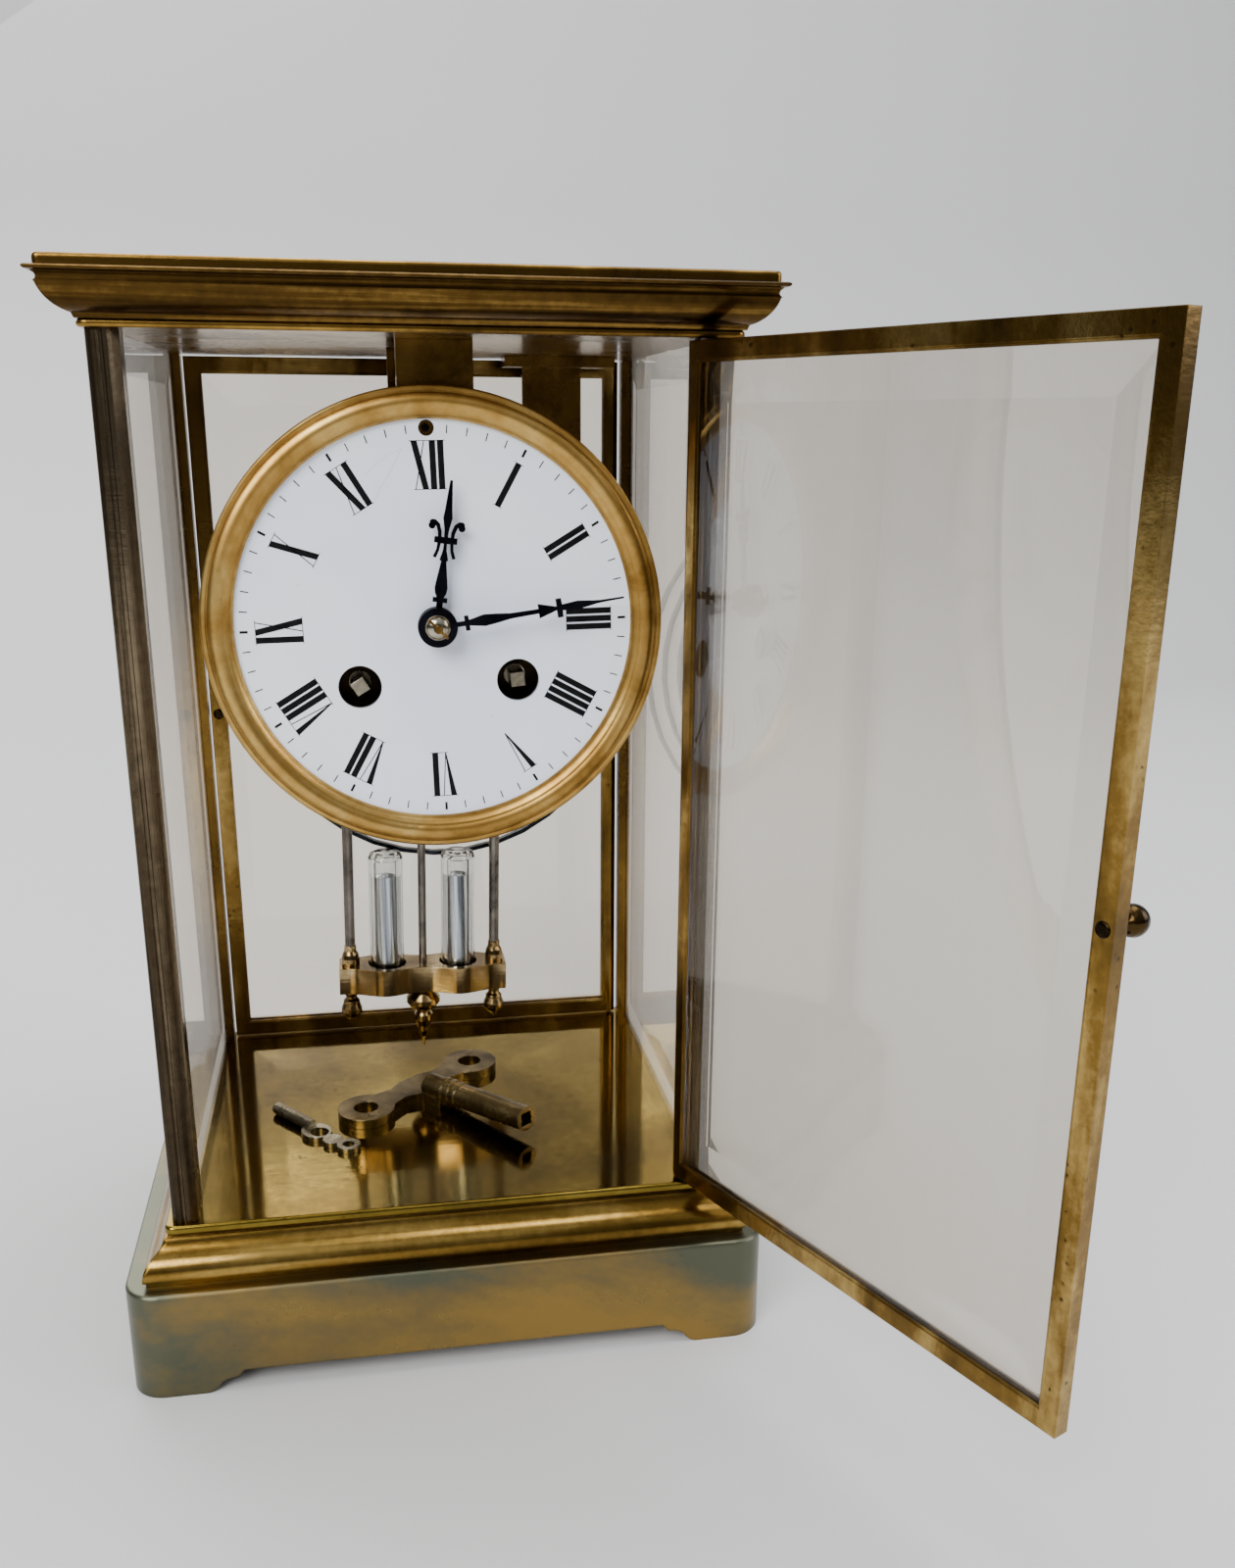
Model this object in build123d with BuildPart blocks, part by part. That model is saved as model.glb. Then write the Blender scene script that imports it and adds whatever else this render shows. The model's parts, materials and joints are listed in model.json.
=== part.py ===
"""Four-glass mantel clock: brass case, hinged doors, eight-day striking movement, mercury-vial pendulum.

Millimetres, +X to the right of the dial, +Y to the back, +Z up. The pieces are drawn about the middle of the
base on the table, and save() moves each so that the row's origin is the middle of the front right foot's flat.
The front door is modelled standing open, the way it is held when the clock is wound.
"""
from build123d import *
from math import atan2, cos, degrees, hypot, pi, radians, sin
import os

os.makedirs("parts", exist_ok=True)

# ---------------------------------------------------------------- driving dimensions
HEIGHT = 280.0
PLINTH_X, PLINTH_Y, PLINTH_TOP = 86.0, 71.4, 30.5       # half width, half depth, top
CASE_X, CASE_Y = 73.35, 60.5                            # outer faces of the four pillars
FLOOR_Z, CEILING_Z = 45.1, 265.8                        # inside height of the glazed case
DOOR_OPEN = 115.0                                       # front door's angle as modelled
DOOR_THICK = 4.0
DIAL_X, DIAL_Z = 1.6, 198.2                             # dial centre
DIAL_TILT = 1.3                                         # movement hangs this much anticlockwise
SWING = 1.3                                             # pendulum stands this much left of plumb
HOUR_ANGLE, MINUTE_ANGLE = 8.7, 83.0                    # hands, clockwise from XII

# ---------------------------------------------------------------- case
PLINTH_CORNER = 9.0
PLINTH_WALL = 3.0
RIM_ROUND = 0.9
FOOT_ARCH = 6.1
FOOT_IN_X, FOOT_IN_Y = 66.3, 51.7                       # where the flat of each foot ends
FOOT_AT = (72.0, -69.9)                                 # middle of the front right foot's flat, the row's origin
MOULDING_X, MOULDING_Y, MOULDING_TOP = 80.9, 67.3, 42.6
DECK_X, DECK_Y = 75.2, 62.4
CEILING_X, CEILING_Y, CEILING_TOP = 74.7, 62.0, 267.6
BEAD_X, BEAD_Y = 82.6, 70.2                             # widest bead of the cornice
CORNICE_TOP = 277.5
PILLAR_INNER_X, PILLAR_INNER_Y = 66.1, 52.9
PILLAR_ROUND = 2.4
GLASS_IN, GLASS_THICK = 68.4, 3.0                       # side glass: inner face, thickness
BEVEL, BEVEL_EDGE = 9.0, 1.3
SCREW_R, SCREW_HEAD_R, SCREW_HEAD = 1.5, 2.7, 1.8
SCREW_X, SCREW_Y = 69.6, 56.6
SCREW_LONG = 26.0
CORNERS = ((SCREW_X, SCREW_Y), (-SCREW_X, SCREW_Y), (SCREW_X, -SCREW_Y), (-SCREW_X, -SCREW_Y))
HANGING = ((-3.0, -37.2), (9.5, -37.2), (-3.0, 9.8), (6.0, 9.8), (31.5, 44.0), (57.0, 44.0))

# ---------------------------------------------------------------- doors
DOOR_HALF, DOOR_Z0, DOOR_Z1 = 65.7, 46.0, 265.3
STILE = 4.9
PIVOT_IN = 2.0                                          # pivot from the hinged edge
PIVOT_X, PIVOT_Y = DOOR_HALF - PIVOT_IN, CASE_Y - DOOR_THICK / 2
PIN_R, PIN_BORE = 0.75, 0.8
PIN_REACH = 4.0
DOOR_GLASS = 2.4
GROOVE = 1.2
KNOB_Z = 157.5

# ---------------------------------------------------------------- movement, front to back
DIAL_FACE = -43.5
DIAL_R, DIAL_THICK = 51.0, 1.2
BEZEL_R, BEZEL_OPENING = 57.2, 49.4
BACKING_THICK = 1.2
PLATE_R, PLATE_THICK = 46.0, 1.6
FRONT_PLATE, BACK_PLATE = -34.0, 6.0                    # front faces of the two plates
WINDING = (19.95, 14.9)                                 # winding arbors, beside and below the centre
WINDING_HOLE_R = 5.4
REGULATOR_UP = 47.25
MINUTE_AT = (-6.25, 10.825)
THIRD_AT = (-7.5, 13.679)
ESCAPE_AT = (0.0, 24.929)
PALLET_UP = 36.2
STRIKE_AT = (-24.3, 9.6)
HAMMER_AT = (-37.0, 20.0)

# ---------------------------------------------------------------- pendulum
PENDULUM_Y = 26.8
ROD_R, ROD_SPACING = 1.6, 45.7
VIAL_R, VIAL_BORE, VIAL_SPACING = 5.4, 3.1, 22.6
BRACKET_TOP, BRACKET_HIGH = -153.6, 8.6
YOKE_BOTTOM, YOKE_HIGH = -104.5, 7.0
VIAL_HIGH = 37.5

# ---------------------------------------------------------------- gong
GONG_X, GONG_Y, GONG_Z = 5.0, 41.0, 170.0
GONG_START, GONG_PITCH, GONG_TURNS = 59.0, 5.0, 4.0
GONG_WIRE, GONG_DEPTH = 1.3, 2.4


def dial_plane(y):
    """Plane parallel to the dial at depth y, facing the viewer, turned with the movement."""
    tilt = radians(DIAL_TILT)
    return Plane(origin=(DIAL_X, y, DIAL_Z), x_dir=(cos(tilt), 0, sin(tilt)), z_dir=(0, -1, 0))


PALLET_CENTRE = dial_plane(0).from_local_coords(Vector(0, PALLET_UP, 0))


def swing_plane(y):
    """Plane of the pendulum at depth y: origin on the pallet arbor, turned with the pendulum."""
    swing = radians(SWING)
    return Plane(origin=(PALLET_CENTRE.X, y, PALLET_CENTRE.Z), x_dir=(cos(swing), 0, -sin(swing)),
                 z_dir=(0, -1, 0))


def gear_points(teeth, module, phase, tip=0.8, root=1.15, share=0.40):
    """Outline of a wheel with straight-flanked teeth; phase is the angle of one tooth in degrees."""
    radius = teeth * module / 2
    points = []
    for tooth in range(teeth):
        centre = radians(phase + 360 * tooth / teeth)
        at_root = pi * (share + 0.16) / teeth
        at_tip = pi * (share - 0.14) / teeth
        inner, outer = radius - root * module, radius + tip * module
        for r, a in ((inner, -at_root), (outer, -at_tip), (outer, at_tip), (inner, at_root)):
            points.append((r * cos(centre + a), r * sin(centre + a)))
    return points


def toward(here, there):
    """Angle in degrees of the line from one arbor to another."""
    return degrees(atan2(there[1] - here[1], there[0] - here[0]))


def crossings(plane, centre, inner, outer, spokes, width):
    """The openings between a wheel's rim and hub, with spokes left standing."""
    with BuildSketch(plane, mode=Mode.PRIVATE) as openings:
        with Locations(centre):
            Circle(outer)
            Circle(inner, mode=Mode.SUBTRACT)
            with PolarLocations(0, spokes):
                with Locations((outer / 2, 0)):
                    Rectangle(outer, width, mode=Mode.SUBTRACT)
    return openings.sketch


def save(builder, label):
    """Move a finished sub-part to the row's origin, label it and write its STEP file."""
    piece = builder.part.moved(Location((-FOOT_AT[0], -FOOT_AT[1], 0)))
    piece.label = label
    export_step(piece, f"parts/{label}.step")


# ================================================================ base
with BuildPart() as plinth:
    with BuildSketch():
        RectangleRounded(2 * PLINTH_X, 2 * PLINTH_Y, PLINTH_CORNER)
    extrude(amount=PLINTH_TOP)
    fillet(plinth.edges().group_by(Axis.Z)[-1], RIM_ROUND)
    with BuildSketch():
        RectangleRounded(2 * (PLINTH_X - PLINTH_WALL), 2 * (PLINTH_Y - PLINTH_WALL), PLINTH_CORNER - PLINTH_WALL)
    extrude(amount=PLINTH_TOP - PLINTH_WALL, mode=Mode.SUBTRACT)
    with BuildSketch():
        Rectangle(152, 122)
    extrude(amount=PLINTH_TOP, mode=Mode.SUBTRACT)
    for plane, foot_in in ((Plane.XZ, FOOT_IN_X), (Plane.YZ, FOOT_IN_Y)):
        with BuildSketch(plane):
            with BuildLine():
                Line((0, -1), (foot_in + 0.6, -1))
                Line((foot_in + 0.6, -1), (foot_in, 0))
                RadiusArc((foot_in, 0), (foot_in - 3.6, 2.9), 5)
                RadiusArc((foot_in - 3.6, 2.9), (foot_in - 8.0, 4.2), -8)
                Line((foot_in - 8.0, 4.2), (foot_in - 9.6, FOOT_ARCH))
                Line((foot_in - 9.6, FOOT_ARCH), (0, FOOT_ARCH))
                mirror(about=Plane.YZ)
            make_face()
        extrude(amount=100, both=True, mode=Mode.SUBTRACT)
save(plinth, "plinth")

with BuildPart() as base_moulding:
    for plane, half, mode in ((Plane.XZ, MOULDING_X, Mode.ADD), (Plane.YZ, MOULDING_Y, Mode.INTERSECT)):
        with BuildSketch(plane):
            with BuildLine():
                Polyline((0, PLINTH_TOP), (half - 0.8, PLINTH_TOP), (half - 0.8, 31.6), (half, 32.2), (half, 33.2))
                Polyline((half, 33.2), (half - 0.3, 34.7), (half - 1.0, 36.2), (half - 2.1, 37.5), (half - 3.4, 38.4))
                Polyline((half - 3.4, 38.4), (half - 4.3, 39.3), (half - 5.0, 40.4), (half - 5.4, 41.7))
                Polyline((half - 5.4, 41.7), (half - 6.4, 41.7), (half - 6.4, MOULDING_TOP), (0, MOULDING_TOP))
                mirror(about=Plane.YZ)
            make_face()
        extrude(amount=100, both=True, mode=mode)
    with BuildSketch(Plane.XY.offset(PLINTH_TOP)):
        Rectangle(124, 98)
    extrude(amount=20, mode=Mode.SUBTRACT)
    with BuildSketch(Plane.XY.offset(PLINTH_TOP)):
        with GridLocations(2 * SCREW_X, 2 * SCREW_Y, 2, 2):
            Circle(SCREW_R)
    extrude(amount=20, mode=Mode.SUBTRACT)
save(base_moulding, "base_moulding")

with BuildPart() as floor_plate:
    with BuildSketch(Plane.XY.offset(MOULDING_TOP)):
        RectangleRounded(2 * DECK_X, 2 * DECK_Y, 2.5)
    extrude(amount=FLOOR_Z - MOULDING_TOP)
    fillet(floor_plate.edges().group_by(Axis.Z)[-1], 1.0)
    fillet(floor_plate.edges().group_by(Axis.Z)[0], 0.8)
    with BuildSketch(Plane.XY.offset(MOULDING_TOP)):
        with GridLocations(2 * SCREW_X, 2 * SCREW_Y, 2, 2):
            Circle(SCREW_R)
        with Locations((PIVOT_X, -PIVOT_Y), (PIVOT_X, PIVOT_Y)):
            Circle(PIN_R)
    extrude(amount=5, mode=Mode.SUBTRACT)
save(floor_plate, "floor_plate")

# ================================================================ pillars and side glasses
for depth_name, back in (("front", -1), ("rear", 1)):
    for side_name, side in (("left", -1), ("right", 1)):
        with BuildPart() as pillar:
            with BuildSketch(Plane.XY.offset(FLOOR_Z)):
                with BuildLine():
                    wide, deep = CASE_X - PILLAR_INNER_X, CASE_Y - PILLAR_INNER_Y
                    Polyline((0, deep), (wide - PILLAR_ROUND, deep))
                    RadiusArc((wide - PILLAR_ROUND, deep), (wide, deep - PILLAR_ROUND), PILLAR_ROUND)
                    Polyline((wide, deep - PILLAR_ROUND), (wide, 0), (0, 0), (0, deep))
                make_face()
                with Locations((wide - 3.4, deep + 0.25), (wide + 0.25, deep - 3.4)):
                    Circle(0.7, mode=Mode.SUBTRACT)
                with Locations((wide - 0.62, deep - 0.62)):
                    Circle(0.45, mode=Mode.SUBTRACT)
                with Locations((0, deep)):
                    Rectangle(3.2, 3.2, rotation=45, mode=Mode.SUBTRACT)
                with Locations((GLASS_IN + GLASS_THICK / 2 - PILLAR_INNER_X, 0)):
                    Rectangle(GLASS_THICK + 0.1, 4.6, mode=Mode.SUBTRACT)
            extrude(amount=CEILING_Z - FLOOR_Z)
            for end in (FLOOR_Z, CEILING_Z - 14):
                with BuildSketch(Plane.XY.offset(end)):
                    with Locations((SCREW_X - PILLAR_INNER_X, SCREW_Y - PILLAR_INNER_Y)):
                        Circle(SCREW_R)
                extrude(amount=14, mode=Mode.SUBTRACT)
        corner = pillar.part.moved(Location((PILLAR_INNER_X, PILLAR_INNER_Y, 0)))
        if side < 0:
            corner = corner.mirror(Plane.YZ)
        if back < 0:
            corner = corner.mirror(Plane.XZ)
        pillar.part = corner
        save(pillar, f"pillar_{depth_name}_{side_name}")

for side_name, side in (("left", -1), ("right", 1)):
    with BuildPart() as side_glass:
        inner = Plane(origin=(side * GLASS_IN, 0, (FLOOR_Z + CEILING_Z) / 2), x_dir=(0, 1, 0), z_dir=(side, 0, 0))
        pane = (2 * PILLAR_INNER_Y + 4.4, CEILING_Z - FLOOR_Z)
        with BuildSketch(inner):
            Rectangle(*pane)
        extrude(amount=BEVEL_EDGE)
        with BuildSketch(inner.offset(BEVEL_EDGE)):
            Rectangle(*pane)
        with BuildSketch(inner.offset(GLASS_THICK)):
            Rectangle(pane[0] - 2 * BEVEL - 4.4, pane[1] - 2 * BEVEL)
        loft()
    save(side_glass, f"side_glass_{side_name}")

# ================================================================ top
with BuildPart() as ceiling_plate:
    with BuildSketch(Plane.XY.offset(CEILING_Z)):
        RectangleRounded(2 * CEILING_X, 2 * CEILING_Y, 2.5)
    extrude(amount=CEILING_TOP - CEILING_Z)
    fillet(ceiling_plate.edges().group_by(Axis.Z)[-1], 0.8)
    fillet(ceiling_plate.edges().group_by(Axis.Z)[0], 0.8)
    with BuildSketch(Plane.XY.offset(CEILING_Z)):
        with GridLocations(2 * SCREW_X, 2 * SCREW_Y, 2, 2):
            Circle(SCREW_R)
        with Locations((PIVOT_X, -PIVOT_Y), (PIVOT_X, PIVOT_Y)):
            Circle(PIN_R)
        with Locations(*HANGING):
            Circle(SCREW_R)
    extrude(amount=5, mode=Mode.SUBTRACT)
save(ceiling_plate, "ceiling_plate")

with BuildPart() as cornice:
    for plane, half, mode in ((Plane.XZ, BEAD_X, Mode.ADD), (Plane.YZ, BEAD_Y, Mode.INTERSECT)):
        with BuildSketch(plane):
            with BuildLine():
                Polyline((0, CEILING_TOP), (half - 8.0, CEILING_TOP), (half - 7.6, 268.6))
                RadiusArc((half - 7.6, 268.6), (half - 1.9, 274.2), -8.2)
                Polyline((half - 1.9, 274.2), (half - 1.6, 274.4))
                RadiusArc((half - 1.6, 274.4), (half - 1.6, 276.1), 0.9)
                Polyline((half - 1.6, 276.1), (half - 1.4, 276.4), (half - 0.3, 276.6), (half, 276.9))
                Polyline((half, 276.9), (half, 277.2), (half - 0.4, CORNICE_TOP), (0, CORNICE_TOP))
                mirror(about=Plane.YZ)
            make_face()
        extrude(amount=100, both=True, mode=mode)
    with BuildSketch(Plane.XY.offset(CEILING_TOP)):
        Rectangle(2 * CEILING_X - 4.2, 2 * CEILING_Y - 4.2)
    extrude(amount=20, mode=Mode.SUBTRACT)
save(cornice, "cornice")

with BuildPart() as top_plate:
    with BuildSketch(Plane.XY.offset(CORNICE_TOP)):
        RectangleRounded(2 * BEAD_X - 3.4, 2 * BEAD_Y - 3.4, 1.5)
    extrude(amount=HEIGHT - CORNICE_TOP)
    fillet(top_plate.edges().group_by(Axis.Z)[-1], 0.9)
save(top_plate, "top_plate")

with BuildPart() as case_screws:
    for head, flip in ((PLINTH_TOP, 1), (CEILING_TOP, -1)):
        shank = SCREW_LONG if flip > 0 else 13.0
        for x, y in CORNERS:
            bearing = Plane(origin=(x, y, head), z_dir=(0, 0, flip))
            with BuildSketch(bearing):
                Circle(SCREW_R)
            extrude(amount=shank)
            with BuildSketch(bearing):
                Circle(SCREW_HEAD_R)
            extrude(amount=-SCREW_HEAD)
            with BuildSketch(bearing.offset(-SCREW_HEAD)):
                Rectangle(6, 0.7)
            extrude(amount=0.8, mode=Mode.SUBTRACT)
save(case_screws, "case_screws")

with BuildPart() as door_pivot_pins:
    for start, end in ((MOULDING_TOP, DOOR_Z0 + PIN_REACH), (DOOR_Z1 - PIN_REACH, CEILING_TOP)):
        with BuildSketch(Plane.XY.offset(start)):
            with Locations((PIVOT_X, -PIVOT_Y), (PIVOT_X, PIVOT_Y)):
                Circle(PIN_R)
        extrude(amount=end - start)
save(door_pivot_pins, "door_pivot_pins")

# ================================================================ doors
OPENING = (2 * (DOOR_HALF - STILE), DOOR_Z1 - DOOR_Z0 - 2 * STILE)
DOOR_MIDDLE = (DOOR_Z0 + DOOR_Z1) / 2
for name, back, turn in (("front", -1, DOOR_OPEN), ("rear", 1, 0)):
    pivot = Axis((PIVOT_X, back * PIVOT_Y, 0), (0, 0, 1))
    middle = Plane(origin=(0, back * PIVOT_Y, DOOR_MIDDLE), x_dir=(-back, 0, 0), z_dir=(0, back, 0))
    with BuildPart() as door_frame:
        with BuildSketch(Plane.XY.offset(DOOR_Z0)):
            with Locations((-PIVOT_IN / 2, back * PIVOT_Y)):
                Rectangle(2 * DOOR_HALF - PIVOT_IN, DOOR_THICK)
            with Locations((PIVOT_X, back * PIVOT_Y)):
                Circle(PIVOT_IN)
        extrude(amount=DOOR_Z1 - DOOR_Z0)
        with BuildSketch(middle):
            Rectangle(*OPENING)
        extrude(amount=10, both=True, mode=Mode.SUBTRACT)
        with BuildSketch(middle):
            Rectangle(OPENING[0] + 2 * GROOVE, OPENING[1] + 2 * GROOVE)
        extrude(amount=DOOR_GLASS / 2 + 0.05, both=True, mode=Mode.SUBTRACT)
        with BuildSketch(middle.offset(-DOOR_THICK / 2)):
            Rectangle(OPENING[0] + 1.0, OPENING[1] + 1.0)
        extrude(amount=0.35, mode=Mode.SUBTRACT)
        for end, way in ((DOOR_Z0, 1), (DOOR_Z1, -1)):
            with BuildSketch(Plane.XY.offset(end)):
                with Locations((PIVOT_X, back * PIVOT_Y)):
                    Circle(PIN_BORE)
            extrude(amount=way * (PIN_REACH + 0.3), mode=Mode.SUBTRACT)
        with BuildSketch(middle):
            with Locations((back * (DOOR_HALF - STILE / 2), KNOB_Z - DOOR_MIDDLE)):
                Circle(1.1)
        extrude(amount=10, both=True, mode=Mode.SUBTRACT)
    with BuildPart() as door_glass:
        pane = (OPENING[0] + 2 * GROOVE - 0.1, OPENING[1] + 2 * GROOVE - 0.1)
        with BuildSketch(middle.offset(-DOOR_GLASS / 2)):
            Rectangle(*pane)
        extrude(amount=BEVEL_EDGE)
        with BuildSketch(middle.offset(BEVEL_EDGE - DOOR_GLASS / 2)):
            Rectangle(*pane)
        with BuildSketch(middle.offset(DOOR_GLASS / 2)):
            Rectangle(OPENING[0] - 2 * BEVEL, OPENING[1] - 2 * BEVEL)
        loft()
    with BuildPart() as door_knob:
        with BuildSketch(Plane(origin=(-DOOR_HALF + STILE / 2, back * PIVOT_Y, KNOB_Z),
                               x_dir=(1, 0, 0), z_dir=(0, 0, back))):
            Polygon((0, -2.5), (0.9, -2.5), (1.5, -2.3), (1.7, -2.0), (1.1, -2.0), (1.1, 2.0), (2.1, 2.0),
                    (2.1, 2.7), (1.4, 3.2), (1.5, 3.9), (2.3, 4.5), (2.9, 5.3), (3.25, 6.3), (3.3, 7.2),
                    (3.05, 8.2), (2.5, 9.1), (1.7, 9.8), (0.9, 10.1), (0, 10.2), align=None)
        revolve(axis=Axis((-DOOR_HALF + STILE / 2, back * PIVOT_Y, KNOB_Z), (0, 1, 0)))
    for piece, part_name in ((door_frame, "frame"), (door_glass, "glass"), (door_knob, "knob")):
        piece.part = piece.part.rotate(pivot, turn)
        save(piece, f"{name}_door_{part_name}")

# ================================================================ movement
def disc(at, radius, front, back, mode=Mode.ADD, plane=dial_plane):
    """Round slab between two depths, added to or cut from the part being built."""
    with BuildSketch(plane(back), mode=Mode.PRIVATE) as face:
        with Locations(at):
            Circle(radius)
    extrude(face.sketch, amount=back - front, mode=mode)


def slab(points, front, back, mode=Mode.ADD, plane=dial_plane, at=(0, 0), turn=0):
    """Straight-sided plate between two depths, added to or cut from the part being built."""
    with BuildSketch(plane(back), mode=Mode.PRIVATE) as face:
        with Locations(Location((at[0], at[1], 0), (0, 0, turn))):
            Polygon(*points, align=None)
    extrude(face.sketch, amount=back - front, mode=mode)


def box_points(x0, y0, x1, y1):
    """Corners of an upright rectangle."""
    return [(x0, y0), (x1, y0), (x1, y1), (x0, y1)]


def mirrored(points):
    """A closed outline from its right half, listed from the bottom up."""
    return points + [(-x, y) for x, y in reversed(points) if x > 0]


def open_wheel(at, inner, outer, spokes, width, front, back):
    """Cut the crossings of a wheel, leaving its spokes."""
    openings = crossings(dial_plane(back), at, inner, outer, spokes, width)
    extrude(openings, amount=back - front, mode=Mode.SUBTRACT)


GOING_AT, STRIKING_AT = (WINDING[0], -WINDING[1]), (-WINDING[0], -WINDING[1])
GREAT = 2 * hypot(*WINDING) / 98
PLATE_HOLES = (GOING_AT, STRIKING_AT, THIRD_AT, ESCAPE_AT, (0, PALLET_UP), STRIKE_AT, HAMMER_AT)
FEET = [(43.0 * cos(radians(a)), 43.0 * sin(radians(a))) for a in (65, 115, -72, -108)]
DIAL_FEET = [(44.0 * cos(radians(a)), 44.0 * sin(radians(a))) for a in (30, 150, 270)]
PIVOT_R, PIVOT_HOLE = 0.8, 0.86
FINE_R, FINE_HOLE = 0.6, 0.66
HOLES = {GOING_AT: 2.86, STRIKING_AT: 2.86}
FINE = {THIRD_AT: FINE_HOLE, ESCAPE_AT: FINE_HOLE}
FRONT_BACK, BACK_BACK = FRONT_PLATE + PLATE_THICK, BACK_PLATE + PLATE_THICK

with BuildPart() as bezel:
    with BuildSketch(Plane(origin=(DIAL_X, 0, DIAL_Z), x_dir=(1, 0, 0), z_dir=(0, 0, -1))):
        with BuildLine():
            Polyline((BEZEL_OPENING, -DIAL_FACE), (BEZEL_OPENING, 44.2))
            RadiusArc((BEZEL_OPENING, 44.2), (51.2, 46.0), 3.0)
            Polyline((51.2, 46.0), (51.7, 46.1))
            RadiusArc((51.7, 46.1), (55.3, 45.9), 3.2)
            Polyline((55.3, 45.9), (55.5, 45.1), (55.9, 45.1), (55.9, 45.5), (56.8, 45.5))
            Polyline((56.8, 45.5), (BEZEL_R, 45.1), (BEZEL_R, 40.2), (55.6, 40.2), (55.6, -DIAL_FACE))
            Line((55.6, -DIAL_FACE), (BEZEL_OPENING, -DIAL_FACE))
        make_face()
    revolve(axis=Axis((DIAL_X, 0, DIAL_Z), (0, 1, 0)))
save(bezel, "bezel")

DIAL_BACK = DIAL_FACE + DIAL_THICK
with BuildPart() as dial:
    disc((0, 0), DIAL_R, DIAL_FACE, DIAL_BACK)
    for at, radius in (((0, 0), 3.4), (GOING_AT, WINDING_HOLE_R), (STRIKING_AT, WINDING_HOLE_R), ((0, REGULATOR_UP), 1.9)):
        disc(at, radius, DIAL_FACE - 1, DIAL_BACK + 1, Mode.SUBTRACT)
save(dial, "dial")

with BuildPart() as dial_plate:
    disc((0, 0), 55.3, DIAL_BACK, DIAL_BACK + BACKING_THICK)
    for at, radius in (((0, 0), 4.0), (GOING_AT, WINDING_HOLE_R), (STRIKING_AT, WINDING_HOLE_R), ((0, REGULATOR_UP), 1.9)):
        disc(at, radius, DIAL_BACK - 1, DIAL_BACK + 3, Mode.SUBTRACT)
    for at in DIAL_FEET:
        disc(at, 1.6, DIAL_BACK + BACKING_THICK, FRONT_PLATE)
save(dial_plate, "dial_plate")

with BuildPart() as front_plate:
    disc((0, 0), PLATE_R, FRONT_PLATE, FRONT_BACK)
    disc(MINUTE_AT, 1.4, FRONT_PLATE - 0.8, FRONT_PLATE)
    disc(MINUTE_AT, PIVOT_R, FRONT_PLATE - 6.4, FRONT_PLATE)
    disc((0, 0), 1.06, FRONT_PLATE - 1, FRONT_BACK + 1, Mode.SUBTRACT)
    for at in PLATE_HOLES:
        disc(at, {**HOLES, **FINE}.get(at, PIVOT_HOLE), FRONT_PLATE - 1, FRONT_BACK + 1, Mode.SUBTRACT)
    for at in FEET:
        disc(at, 1.5, FRONT_PLATE - 1, FRONT_BACK + 1, Mode.SUBTRACT)
    for at in ((-3.0, 42.0), (6.0, 42.0)):
        disc(at, 1.0, FRONT_PLATE - 1, FRONT_BACK + 1, Mode.SUBTRACT)
save(front_plate, "front_plate")

with BuildPart() as back_plate:
    disc((0, 0), PLATE_R, BACK_PLATE, BACK_BACK)
    disc((0, 0), PIVOT_HOLE, BACK_PLATE - 1, BACK_BACK + 1, Mode.SUBTRACT)
    for at in PLATE_HOLES:
        disc(at, FINE.get(at, PIVOT_HOLE), BACK_PLATE - 1, BACK_BACK + 1, Mode.SUBTRACT)
    for at in FEET:
        disc(at, 1.5, BACK_PLATE - 1, BACK_BACK + 1, Mode.SUBTRACT)
    for at in ((-4.8, 43.0), (5.0, 43.0)):
        disc(at, 1.0, BACK_PLATE - 1, BACK_BACK + 1, Mode.SUBTRACT)
save(back_plate, "back_plate")

with BuildPart() as plate_pillars:
    for at in FEET:
        disc(at, 2.6, FRONT_BACK, BACK_PLATE)
        disc(at, 1.5, FRONT_PLATE - 1.2, BACK_BACK + 1.2)
save(plate_pillars, "plate_pillars")

# hangers from the ceiling, and the cock that carries the pendulum
with BuildPart() as movement_hanger_front:
    with BuildSketch(Plane.XY.offset(CEILING_Z)):
        with Locations((3.25, -37.0)):
            Rectangle(18.5, 6.0)
    extrude(amount=-33.0)
    disc((0, REGULATOR_UP), PIVOT_HOLE, -50, -20, Mode.SUBTRACT)
    for at in ((-3.0, 42.0), (6.0, 42.0)):
        disc(at, 1.0, -50, -20, Mode.SUBTRACT)
    with BuildSketch(Plane.XY.offset(CEILING_Z)):
        with Locations(*HANGING[:2]):
            Circle(SCREW_R)
    extrude(amount=-11, mode=Mode.SUBTRACT)
save(movement_hanger_front, "movement_hanger_front")

with BuildPart() as movement_hanger_rear:
    with BuildSketch(Plane.XY.offset(CEILING_Z)):
        with Locations((1.5, BACK_BACK + 2.2)):
            Rectangle(17, 4.4)
    extrude(amount=-26.6)
    disc((0, REGULATOR_UP), PIVOT_HOLE, 0, 20, Mode.SUBTRACT)
    for at in ((-4.8, 43.0), (5.0, 43.0)):
        disc(at, 1.0, 0, 20, Mode.SUBTRACT)
    with BuildSketch(Plane.XY.offset(CEILING_Z)):
        with Locations(*HANGING[2:4]):
            Circle(SCREW_R)
    extrude(amount=-11, mode=Mode.SUBTRACT)
save(movement_hanger_rear, "movement_hanger_rear")

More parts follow.
